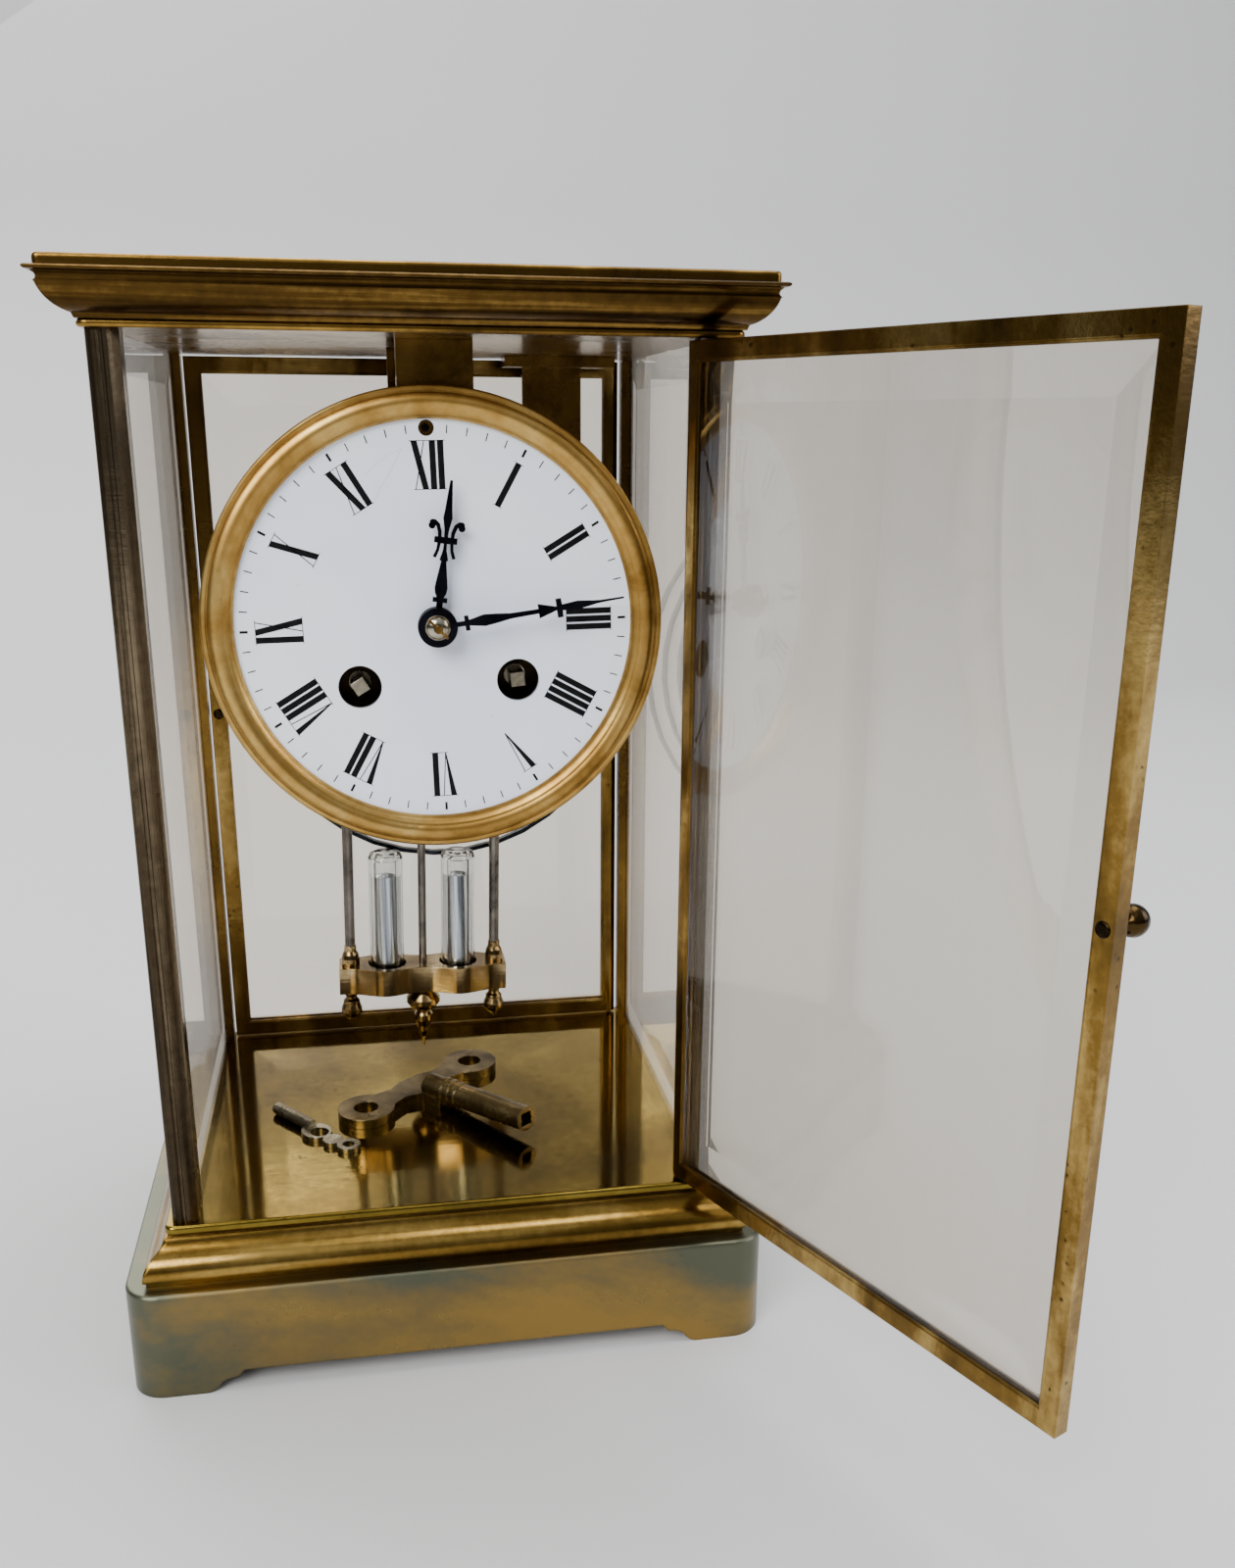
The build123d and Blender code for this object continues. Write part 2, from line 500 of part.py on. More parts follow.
COCK_BACK = BACK_BACK + 4.4
COCK_FACE = COCK_BACK + 3.0
with BuildPart() as suspension_cock:
    with BuildSketch(Plane.XZ.offset(-COCK_BACK)):
        with Locations((PALLET_CENTRE.X, 245.0)):
            Rectangle(16, 11)
    extrude(amount=-3.0)
    with BuildSketch(Plane.XZ.offset(-COCK_BACK)):
        with Locations((PALLET_CENTRE.X, 243.4)):
            Rectangle(4.4, 7.8)
    extrude(amount=-19.0)
    for at in ((-4.8, 43.0), (5.0, 43.0)):
        disc(at, 1.0, 10, 21, Mode.SUBTRACT)
    disc((0, REGULATOR_UP), PIVOT_HOLE, 10, 21, Mode.SUBTRACT)
    with BuildSketch(Plane.YZ.offset(PALLET_CENTRE.X)):
        with Locations((PENDULUM_Y, 241.0)):
            Rectangle(6.8, 6.0)
    extrude(amount=0.85, both=True, mode=Mode.SUBTRACT)
save(suspension_cock, "suspension_cock")

with BuildPart() as hanger_screws:
    for x, y in HANGING:
        seat = Plane(origin=(x, y, CEILING_TOP), z_dir=(0, 0, 1))
        reach = 4.8 if x > 20 else 12.0
        with BuildSketch(seat):
            Circle(SCREW_R)
        extrude(amount=-reach)
        with BuildSketch(seat):
            Circle(SCREW_HEAD_R)
        extrude(amount=SCREW_HEAD)
        with BuildSketch(seat.offset(SCREW_HEAD)):
            Rectangle(6, 0.7)
        extrude(amount=-0.8, mode=Mode.SUBTRACT)
    for at, head, way in (((-3.0, 42.0), -40.0, 1), ((6.0, 42.0), -40.0, 1), ((-4.8, 43.0), COCK_FACE, -1), ((5.0, 43.0), COCK_FACE, -1)):
        tip = FRONT_BACK if way > 0 else BACK_PLATE
        disc(at, 1.0, min(head, tip), max(head, tip))
        disc(at, 1.9, min(head, head - 0.6 * way), max(head, head - 0.6 * way))
save(hanger_screws, "hanger_screws")

# ---------------------------------------------------------------- hands and motion work
with BuildPart() as cannon_pinion:
    disc((0, 0), 1.9, -49.7, -34.2)
    slab(gear_points(12, 12.5 / 24, toward((0, 0), MINUTE_AT), share=0.36), -37.6, -34.4)
    disc((0, 0), 1.06, -60, -30, Mode.SUBTRACT)
save(cannon_pinion, "cannon_pinion")

MINUTE_HALF = [(0, 4), (0.6, 4), (0.6, 6.75), (1.85, 6.75), (1.85, 7.85), (0.7, 7.85), (1.45, 11.7), (1.2, 14.2),
               (0.68, 18.2), (0.55, 25.3), (1.8, 25.3), (0.5, 29.7), (0.5, 29.9), (2.35, 29.9), (2.35, 31.3),
               (0.75, 31.35), (1.05, 35.4), (0.45, 39.7), (0.3, 41.5), (0.2, 47.1)]
with BuildPart() as minute_hand:
    slab(mirrored(MINUTE_HALF), -49.7, -49.1, turn=-MINUTE_ANGLE)
    disc((0, 0), 4.9, -49.7, -49.1)
    disc((0, 0), 1.9, -60, -30, Mode.SUBTRACT)
save(minute_hand, "minute_hand")

with BuildPart() as hand_washer:
    with BuildSketch(Plane(origin=(DIAL_X, 0, DIAL_Z), x_dir=(1, 0, 0), z_dir=(0, 0, -1))):
        with BuildLine():
            Polyline((1.06, 49.7), (3.3, 49.7), (3.3, 50.0))
            RadiusArc((3.3, 50.0), (1.06, 51.7), -3.0)
            Line((1.06, 51.7), (1.06, 49.7))
        make_face()
    revolve(axis=Axis((DIAL_X, 0, DIAL_Z), (0, 1, 0)))
save(hand_washer, "hand_washer")

with BuildPart() as hour_wheel:
    disc((0, 0), 3.0, -46.8, -38.6)
    slab(gear_points(40, 0.5, toward((0, 0), MINUTE_AT)), -39.8, -38.6)
    open_wheel((0, 0), 4.4, 8.2, 4, 1.4, -39.8, -38.6)
    disc((0, 0), 1.96, -60, -30, Mode.SUBTRACT)
save(hour_wheel, "hour_wheel")

HOUR_HALF = [(0, 4), (0.8, 4), (0.8, 5.9), (1.8, 5.9), (1.8, 7.1), (0.9, 7.1), (1.4, 8.2), (1.6, 9.5), (1.3, 11.6),
             (0.65, 15.9), (1.05, 16.3), (0.45, 18.6), (0.35, 20.2), (2.8, 20.3), (2.8, 21.8), (0.45, 21.8),
             (0.55, 23.5), (1.15, 26.4), (0.9, 28.2), (0.3, 35.4)]
HOUR_LEAF = [(1.1, 20.6), (1.95, 20.6), (2.1, 18.7), (2.8, 16.9), (2.0, 16.6), (1.4, 18.4)]
HOUR_SCROLL = [(1.1, 21.2), (1.95, 21.2), (2.1, 22.9), (2.6, 24.2), (3.3, 24.8), (3.9, 24.7), (4.4, 25.2),
               (3.8, 25.8), (2.8, 25.75), (1.8, 24.9), (1.2, 23.1)]
with BuildPart() as hour_hand:
    slab(mirrored(HOUR_HALF), -46.7, -46.1, turn=-HOUR_ANGLE)
    for outline in (HOUR_LEAF, HOUR_SCROLL):
        slab(outline, -46.7, -46.1, turn=-HOUR_ANGLE)
        slab([(-x, y) for x, y in reversed(outline)], -46.7, -46.1, turn=-HOUR_ANGLE)
    for side in (-1, 1):
        lean = radians(HOUR_ANGLE)
        disc((side * 3.65 * cos(lean) + 24.3 * sin(lean), 24.3 * cos(lean) - side * 3.65 * sin(lean)),
             0.85, -46.7, -46.1)
    disc((0, 0), 4.85, -46.7, -46.1)
    disc((0, 0), 3.0, -60, -30, Mode.SUBTRACT)
save(hour_hand, "hour_hand")

with BuildPart() as minute_wheel:
    disc(MINUTE_AT, 1.7, -40.0, -35.0)
    slab(gear_points(36, 12.5 / 24, toward(MINUTE_AT, (0, 0)) + 5), -36.6, -35.6, at=MINUTE_AT)
    open_wheel(MINUTE_AT, 3.4, 7.4, 4, 1.3, -36.6, -35.6)
    slab(gear_points(10, 0.5, toward(MINUTE_AT, (0, 0)) + 18, share=0.36), -40.0, -36.6, at=MINUTE_AT)
    disc(MINUTE_AT, PIVOT_HOLE, -60, -30, Mode.SUBTRACT)
save(minute_wheel, "minute_wheel")

# ---------------------------------------------------------------- going train
PIN_ALONG = Plane(origin=dial_plane(-52.6).origin, x_dir=dial_plane(0).x_dir, z_dir=(0.707, 0, -0.707))
with BuildPart() as centre_arbor:
    disc((0, 0), 1.0, -53.6, -31.6)
    disc((0, 0), 1.5, -32.2, 5.8)
    disc((0, 0), PIVOT_R, 5.8, 8.2)
    slab(gear_points(14, GREAT, toward((0, 0), GOING_AT) + 180 / 14, share=0.36), -30.6, -26.2)
    slab(gear_points(96, 0.3, toward((0, 0), THIRD_AT)), -3.0, -1.6)
    open_wheel((0, 0), 3.2, 12.0, 4, 1.6, -3.0, -1.6)
    with BuildSketch(PIN_ALONG):
        Circle(0.35)
    extrude(amount=3.2, both=True, mode=Mode.SUBTRACT)
    with BuildSketch(PIN_ALONG):
        Circle(0.35)
    extrude(amount=3.2, both=True, mode=Mode.ADD)
save(centre_arbor, "centre_arbor")

for name, at, great_front, drum, wheel_way in (("going", GOING_AT, -29.5, (-27.5, -7.0), 0),
                                               ("strike", STRIKING_AT, -6.9, (-29.0, -6.9), 1)):
    with BuildPart() as barrel:
        disc(at, 17.5, *drum)
        disc(at, 16.4, drum[0] + 1.2, drum[1] - 1.2, Mode.SUBTRACT)
        pinion_at = STRIKE_AT if wheel_way else (0, 0)
        slab(gear_points(84, GREAT, toward(at, pinion_at)), great_front, great_front + 2.0, at=at)
        if wheel_way == 0:
            disc(at, 16.4, great_front + 1.2, drum[0] + 1.0, Mode.SUBTRACT)
        disc(at, 2.86, -40, 20, Mode.SUBTRACT)
    save(barrel, f"{name}_barrel")
    with BuildPart() as winding_arbor:
        disc(at, 2.8, -34.6, 5.6)
        disc(at, PIVOT_R, 5.6, 8.2)
        half = 1.8
        turn = 5 if wheel_way == 0 else 30
        slab(box_points(-half, -half, half, half), -42.9, -34.6, at=at, turn=turn)
    save(winding_arbor, f"{name}_arbor")

TO_CENTRE = toward(THIRD_AT, (0, 0))
with BuildPart() as third_wheel:
    disc(THIRD_AT, 0.8, FRONT_BACK + 0.2, BACK_PLATE - 0.2)
    disc(THIRD_AT, FINE_R, FRONT_PLATE, BACK_BACK)
    slab(gear_points(8, 0.3, TO_CENTRE + 22.5, share=0.32, root=1.05), -4.8, 0.0, at=THIRD_AT)
    slab(gear_points(96, 0.26, toward(THIRD_AT, ESCAPE_AT)), 1.0, 2.2, at=THIRD_AT)
    open_wheel(THIRD_AT, 2.8, 10.4, 4, 1.4, 1.0, 2.2)
save(third_wheel, "third_wheel")

RATCHET = []
for tooth in range(32):
    for r, a in ((7.1, 0.0), (8.6, 1.2), (8.6, 2.2), (7.1, 5.6)):
        here = radians(360 * tooth / 32 + a)
        RATCHET.append((r * cos(here), r * sin(here)))
with BuildPart() as escape_wheel:
    disc(ESCAPE_AT, 0.72, FRONT_BACK + 0.2, BACK_PLATE - 0.2)
    disc(ESCAPE_AT, FINE_R, FRONT_PLATE, BACK_BACK)
    slab(gear_points(8, 0.26, toward(ESCAPE_AT, THIRD_AT) + 22.5, share=0.32, root=1.05), -0.4, 3.6, at=ESCAPE_AT)
    slab(RATCHET, -8.0, -6.8, at=ESCAPE_AT)
    open_wheel(ESCAPE_AT, 2.2, 6.0, 4, 1.2, -8.0, -6.8)
save(escape_wheel, "escape_wheel")

ANCHOR = [(0, 2.6), (1.6, 2.2), (8.6, -2.0), (10.4, -6.4), (10.0, -8.0), (9.5, -6.6), (7.6, -3.4), (1.2, -1.4)]
with BuildPart() as pallets:
    disc((0, PALLET_UP), PIVOT_R, FRONT_PLATE, 12.0)
    disc((0, PALLET_UP), 1.4, FRONT_BACK + 0.2, BACK_PLATE - 0.2)
    slab(mirrored(ANCHOR)[:-1], -8.6, -6.2, at=(0, PALLET_UP))
save(pallets, "pallets")

with BuildPart() as crutch:
    disc((0, 0), 2.6, 9.0, 11.6, plane=swing_plane)
    slab(box_points(-0.9, -42, 0.9, -1), 10.0, 11.2, plane=swing_plane)
    slab(box_points(-3.0, -43.4, 3.0, -40.6), 10.0, 11.2, plane=swing_plane)
    for side in (-1, 1):
        slab(box_points(2.4 * side - 0.6, -43.4, 2.4 * side + 0.6, -40.6), 11.2, 29.6, plane=swing_plane)
    disc((0, 0), PIVOT_R, 0, 20, Mode.SUBTRACT, plane=swing_plane)
save(crutch, "crutch")

# ---------------------------------------------------------------- strike train
with BuildPart() as strike_wheel:
    disc(STRIKE_AT, 1.1, FRONT_BACK + 0.2, BACK_PLATE - 0.2)
    disc(STRIKE_AT, PIVOT_R, FRONT_PLATE, BACK_BACK)
    slab(gear_points(14, GREAT, toward(STRIKE_AT, STRIKING_AT) + 180 / 14, share=0.36), -7.4, -4.4, at=STRIKE_AT)
    slab(gear_points(72, 0.29, 0), -2.8, -1.4, at=STRIKE_AT)
    open_wheel(STRIKE_AT, 3.0, 7.2, 4, 1.5, -2.8, -1.4)
    for pin in range(10):
        around = radians(36 * pin)
        disc((STRIKE_AT[0] + 8.6 * cos(around), STRIKE_AT[1] + 8.6 * sin(around)), 0.5, -1.4, 0.6)
save(strike_wheel, "strike_wheel")

with BuildPart() as hammer:
    disc(HAMMER_AT, 1.0, FRONT_BACK + 0.2, BACK_PLATE - 0.2)
    disc(HAMMER_AT, PIVOT_R, FRONT_PLATE, BACK_BACK + 1)
    disc(HAMMER_AT, 1.3, BACK_BACK + 0.2, 42.6)
    slab(box_points(0, -0.8, 6.2, 0.8), -0.8, 0.6, at=HAMMER_AT, turn=-35)
    slab(box_points(0, -0.9, 10.0, 0.9), 40.2, 41.8, at=HAMMER_AT, turn=17)
    slab(box_points(8.4, -2.2, 13.4, 2.2), 38.8, 43.2, at=HAMMER_AT, turn=17)
save(hammer, "hammer")

with BuildPart() as regulator_arbor:
    disc((0, REGULATOR_UP), PIVOT_R, -42.9, 20.6)
save(regulator_arbor, "regulator_arbor")

# ================================================================ gong
def spiral(turns, step=10):
    """Outline of the flat gong coil, running clockwise and inwards from its clamped end."""
    outer, inner = [], []
    for i in range(int(turns * 360 / step) + 1):
        a = radians(47.7 - i * step)
        r = GONG_START - GONG_PITCH * i * step / 360
        outer.append(((r + GONG_WIRE / 2) * cos(a), (r + GONG_WIRE / 2) * sin(a)))
        inner.append(((r - GONG_WIRE / 2) * cos(a), (r - GONG_WIRE / 2) * sin(a)))
    return outer + inner[::-1]


def gong_plane(y):
    """Upright plane through the gong's centre at depth y, facing the viewer."""
    return Plane(origin=(GONG_X, y, GONG_Z), x_dir=(1, 0, 0), z_dir=(0, -1, 0))


GONG_FRONT, GONG_BACK = GONG_Y - GONG_DEPTH / 2, GONG_Y + GONG_DEPTH / 2
with BuildPart() as gong_coil:
    slab(spiral(GONG_TURNS), GONG_FRONT, GONG_BACK, plane=gong_plane)
save(gong_coil, "gong_coil")

with BuildPart() as gong_bracket:
    with BuildSketch(Plane.XY.offset(CEILING_Z)):
        with Locations((44.5, 42.5)):
            Rectangle(33, 11)
    extrude(amount=-3.0)
    with BuildSketch(Plane.XZ.offset(-43.0)):
        with Locations((42.7, 239.0)):
            Rectangle(17.8, 50.0)
    extrude(amount=-2.4)
    with BuildSketch(Plane.XZ.offset(-38.0)):
        with Locations((47.2, 214.8)):
            Rectangle(8.8, 9)
    extrude(amount=-7.4)
    slab(spiral(0.25), GONG_FRONT, GONG_BACK, Mode.SUBTRACT, plane=gong_plane)
    with BuildSketch(Plane.XY.offset(CEILING_Z)):
        with Locations(*HANGING[4:]):
            Circle(SCREW_R)
    extrude(amount=-11, mode=Mode.SUBTRACT)
save(gong_bracket, "gong_bracket")

# ================================================================ pendulum
BRACKET_BOTTOM = BRACKET_TOP - BRACKET_HIGH
RODS = (-ROD_SPACING / 2, 0, ROD_SPACING / 2)
VIALS = (-VIAL_SPACING / 2, VIAL_SPACING / 2)
VIAL_FLOOR = BRACKET_BOTTOM + 1.6


def hanging(z):
    """Level plane across the pendulum, z below the pallet arbor, turned with the pendulum."""
    swing = swing_plane(PENDULUM_Y)
    return Plane(origin=swing.from_local_coords(Vector(0, z, 0)), x_dir=swing.x_dir, z_dir=swing.y_dir)


def spin(outline, x):
    """Turned piece about an upright axis x along the pendulum; outline is (radius, height) corners."""
    swing = swing_plane(PENDULUM_Y)
    with BuildSketch(swing, mode=Mode.PRIVATE) as face:
        with Locations((x, 0)):
            Polygon(*outline, align=None)
    foot = swing.from_local_coords(Vector(x, 0, 0))
    revolve(face.sketch, axis=Axis(foot, swing.y_dir))


with BuildPart() as suspension_spring:
    for low, high, wide, deep in ((-3.4, 4.6, 0.3, 6.0), (-6.6, -3.4, 1.6, 6.4), (3.6, 5.6, 0.9, 6.2)):
        with BuildSketch(hanging(low)):
            Rectangle(wide, deep)
        extrude(amount=high - low)
save(suspension_spring, "suspension_spring")

with BuildPart() as pendulum_rods:
    with BuildSketch(hanging(BRACKET_BOTTOM - 8.0)):
        Circle(1.25)
    extrude(amount=-6.6 - BRACKET_BOTTOM + 8.0)
    with BuildSketch(hanging(BRACKET_BOTTOM - 2.0)):
        with Locations((RODS[0], 0), (RODS[2], 0)):
            Circle(ROD_R)
    extrude(amount=YOKE_BOTTOM + YOKE_HIGH - BRACKET_BOTTOM + 2.0)
save(pendulum_rods, "pendulum_rods")

with BuildPart() as pendulum_yoke:
    with BuildSketch(hanging(YOKE_BOTTOM)):
        RectangleRounded(ROD_SPACING + 6.0, 8.0, 1.5)
    extrude(amount=YOKE_HIGH)
    with BuildSketch(hanging(YOKE_BOTTOM)):
        Circle(1.25)
        with Locations((RODS[0], 0), (RODS[2], 0)):
            Circle(ROD_R)
    extrude(amount=YOKE_HIGH, mode=Mode.SUBTRACT)
save(pendulum_yoke, "pendulum_yoke")

with BuildPart() as pendulum_bracket:
    with BuildSketch(hanging(BRACKET_BOTTOM)):
        with BuildLine():
            Spline((-26.4, 5.0), (-19.0, 6.0), (-11.3, 8.2), (-4.5, 6.2), (0, 5.6), (4.5, 6.2), (11.3, 8.2), (19.0, 6.0), (26.4, 5.0))
            Line((26.4, 5.0), (26.4, 0))
            mirror(about=Plane.XZ)
            Line((-26.4, 5.0), (-26.4, -5.0))
        make_face()
    extrude(amount=BRACKET_HIGH)
    with BuildSketch(hanging(BRACKET_BOTTOM)):
        Circle(1.25)
        with Locations((RODS[0], 0), (RODS[2], 0)):
            Circle(ROD_R)
    extrude(amount=BRACKET_HIGH, mode=Mode.SUBTRACT)
    with BuildSketch(hanging(VIAL_FLOOR)):
        with Locations((VIALS[0], 0), (VIALS[1], 0)):
            Circle(VIAL_R + 0.7)
    extrude(amount=BRACKET_HIGH, mode=Mode.SUBTRACT)
save(pendulum_bracket, "pendulum_bracket")

VIAL_TOP = BRACKET_TOP + VIAL_HIGH
with BuildPart() as vials:
    for x in VIALS:
        spin([(0, VIAL_FLOOR), (VIAL_R, VIAL_FLOOR), (VIAL_R, VIAL_TOP - 2.2), (VIAL_R - 0.6, VIAL_TOP - 0.9),
              (VIAL_R - 2.0, VIAL_TOP - 0.2), (0, VIAL_TOP), (0, VIAL_TOP - 1.6), (VIAL_BORE - 0.6, VIAL_TOP - 2.0),
              (VIAL_BORE, VIAL_TOP - 3.0), (VIAL_BORE, VIAL_FLOOR + 2.0), (0, VIAL_FLOOR + 2.0)], x)
save(vials, "vials")

with BuildPart() as mercury_columns:
    for x in VIALS:
        with BuildSketch(hanging(VIAL_FLOOR + 2.0)):
            with Locations((x, 0)):
                Circle(VIAL_BORE)
        extrude(amount=VIAL_TOP - VIAL_FLOOR - 10.0)
save(mercury_columns, "mercury_columns")

with BuildPart() as pendulum_finials:
    for x in (RODS[0], RODS[2]):
        low, top = BRACKET_BOTTOM, BRACKET_TOP
        spin([(ROD_R, low), (2.5, low), (2.5, low - 1.4), (1.8, low - 2.2), (1.8, low - 3.0), (2.6, low - 3.8),
              (2.6, low - 4.6), (3.3, low - 6.4), (3.3, low - 7.6), (2.4, low - 9.2), (0.9, low - 10.4), (0.6, low - 11.5),
              (0, low - 11.6), (0, low - 2.0), (ROD_R, low - 2.0)], x)
        spin([(ROD_R, top), (2.9, top), (2.9, top + 2.0), (2.5, top + 3.6), (1.9, top + 4.6), (1.9, top + 6.2), (ROD_R, top + 6.4)], x)
save(pendulum_finials, "pendulum_finials")

with BuildPart() as rating_nut:
    low = BRACKET_BOTTOM
    spin([(1.25, low), (3.6, low), (3.6, low - 1.0), (4.4, low - 2.2), (5.4, low - 3.6), (5.4, low - 5.2), (4.2, low - 6.8),
          (2.2, low - 7.8), (2.2, low - 8.6), (2.9, low - 9.6), (2.9, low - 11.4), (2.0, low - 13.6), (1.9, low - 15.4),
          (0.7, low - 17.6), (0.4, low - 20.9), (0, low - 21.0), (0, low - 8.0), (1.25, low - 8.0)], 0)
save(rating_nut, "rating_nut")

# ================================================================ keys on the case floor
KEY_PLANE = Plane(origin=(-5.8, 5.5, FLOOR_Z), x_dir=(0.770, 0.638, 0), z_dir=(0, 0, 1))
with BuildPart() as winding_key:
    with BuildSketch(KEY_PLANE):
        with Locations((-21.6, 0), (21.6, 0)):
            Circle(8.5)
        Polygon((-18, -5.4), (-9, -3.8), (-4, -6.0), (-3.7, -13), (3.7, -13), (4, -6.0), (9, -3.8), (18, -5.4),
                (18, 5.4), (9, 3.6), (4, 5.2), (-4, 5.2), (-9, 3.6), (-18, 5.4), align=None)
        with Locations((-21.6, 0), (21.6, 0)):
            Circle(3.7, mode=Mode.SUBTRACT)
    extrude(amount=3.0)
    lean = radians(3.3)
    along = KEY_PLANE.y_dir * -cos(lean) + KEY_PLANE.z_dir * sin(lean)
    root = Plane(origin=KEY_PLANE.from_local_coords(Vector(0, 0, 3.85)), x_dir=KEY_PLANE.x_dir, z_dir=along)
    for start, end, radius in ((5.0, 46.6, 3.7), (12.0, 13.4, 4.1), (15.0, 16.4, 4.1), (18.2, 19.2, 4.0)):
        with BuildSketch(root.offset(start)):
            Circle(radius)
        extrude(amount=end - start)
    with BuildSketch(root.offset(30.0)):
        Rectangle(4.0, 4.0)
    extrude(amount=30, mode=Mode.SUBTRACT)
    with BuildSketch(Plane.XY.offset(FLOOR_Z)):
        Rectangle(150, 150)
    extrude(amount=-10, mode=Mode.SUBTRACT)
save(winding_key, "winding_key")

with BuildPart() as regulator_key:
    stem = Vector(-38.5, -15.0, 0) - Vector(-49.1, -1.8, 0)
    start = Plane(origin=(-49.1, -1.8, FLOOR_Z + 1.8), x_dir=(0, 0, 1), z_dir=stem)
    with BuildSketch(start):
        Circle(1.8)
    extrude(amount=stem.length)
    with BuildSketch(start):
        Rectangle(1.7, 1.7)
    extrude(amount=6, mode=Mode.SUBTRACT)
    bow = Plane(origin=(-37.0, -17.8, FLOOR_Z), x_dir=stem.normalized(), z_dir=(0, 0, 1))
    with BuildSketch(bow):
        with Locations((0, 0)):
            Ellipse(4.9, 4.2)
        with Locations((7.6, 0)):
            Circle(2.9)
        with Locations((13.4, 1.2)):
            Circle(3.4)
        Rectangle(12, 2.4)
    extrude(amount=1.6)
    with BuildSketch(bow):
        with Locations((1.4, 0)):
            Ellipse(2.9, 2.6)
        with Locations((13.4, 1.2)):
            Circle(1.7)
    extrude(amount=5, mode=Mode.SUBTRACT)
save(regulator_key, "regulator_key")
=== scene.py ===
"""Four-glass mantel clock: looks, dial marks, studio and camera, laid out as an add-on.

Lengths in the functions are millimetres unless a name ends in _m. +X right of the dial, +Y back, +Z up.
"""
import json
import math

import bpy
import numpy as np
from mathutils import Matrix, Vector


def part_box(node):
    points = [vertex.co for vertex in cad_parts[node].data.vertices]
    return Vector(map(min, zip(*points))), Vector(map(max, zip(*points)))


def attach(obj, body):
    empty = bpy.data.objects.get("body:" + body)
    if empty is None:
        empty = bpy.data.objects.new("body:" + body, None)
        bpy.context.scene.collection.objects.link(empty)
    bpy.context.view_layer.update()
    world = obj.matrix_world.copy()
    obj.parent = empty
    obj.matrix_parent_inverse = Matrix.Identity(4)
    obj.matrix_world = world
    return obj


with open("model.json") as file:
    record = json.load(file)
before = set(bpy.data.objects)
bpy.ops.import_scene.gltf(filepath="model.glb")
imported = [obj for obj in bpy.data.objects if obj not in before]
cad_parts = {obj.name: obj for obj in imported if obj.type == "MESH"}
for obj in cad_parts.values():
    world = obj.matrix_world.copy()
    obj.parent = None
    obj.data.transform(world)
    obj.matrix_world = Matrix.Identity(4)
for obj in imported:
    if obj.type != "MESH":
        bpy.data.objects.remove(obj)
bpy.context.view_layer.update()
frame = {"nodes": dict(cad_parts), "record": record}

bl_info = {
    "name": "Four-glass mantel clock",
    "version": (1, 0, 0),
    "blender": (4, 5, 0),
    "location": "View3D > Sidebar > Clock",
    "description": "Finishes a mantel clock: brass case, enamel dial, pendulum, gong and keys",
    "category": "Object",
}

PLINTH_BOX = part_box("plinth")
MIDDLE = np.array([(PLINTH_BOX[0].x + PLINTH_BOX[1].x) / 2, (PLINTH_BOX[0].y + PLINTH_BOX[1].y) / 2, 0.0])
# the middle of the enamel's face, and how far the dial sits turned in its bezel
DIAL = np.array([1.6, -43.5, 198.2]) + MIDDLE * 1000
TILT = math.radians(1.3)


# ------------------------------------------------------------------ small tools
def linear(code, alpha=1.0):
    """Turn an sRGB hex colour into the linear colour a shader takes."""
    parts = [int(code[i:i + 2], 16) / 255 for i in (0, 2, 4)]
    return tuple(p / 12.92 if p <= 0.04045 else ((p + 0.055) / 1.055) ** 2.4 for p in parts) + (alpha,)


def add(tree, kind, settings=None, stops=(), **links):
    """Add a node with its settings and links.

    Settings set its properties, stops, pairs of a place and a hex colour, fill its colour ramp, and links fill its
    inputs from a value or an output socket, by name (From_Min) or by number (i0).
    """
    made = tree.nodes.new(kind)
    for key, value in (settings or {}).items():
        setattr(made, key, value)
    for key, value in links.items():
        by_number = key[0] == "i" and key[1:].isdigit()
        socket = made.inputs[int(key[1:]) if by_number else key.replace("_", " ")]
        if isinstance(value, bpy.types.NodeSocket):
            tree.links.new(value, socket)
        else:
            socket.default_value = value
    if stops:
        cells = made.color_ramp.elements
        while len(cells) < len(stops):
            cells.new(0.5)
        for cell, (place, code) in zip(cells, stops):
            cell.position, cell.color = place, linear(code)
    return made


def new_material(name):
    """An empty node material with its shader and output joined, and the Object coordinates to draw it on."""
    made = bpy.data.materials.get(name) or bpy.data.materials.new(name)
    made.use_nodes = True
    tree = made.node_tree
    tree.nodes.clear()
    shader = add(tree, "ShaderNodeBsdfPrincipled")
    add(tree, "ShaderNodeOutputMaterial", Surface=shader.outputs["BSDF"])
    place = add(tree, "ShaderNodeTexCoord").outputs["Object"]
    return made, tree, shader, place


# ------------------------------------------------------------------ materials
# A noise of scale s has patches about 1000 / s mm across, which each comment gives.
STAIN = "2a1e0e"


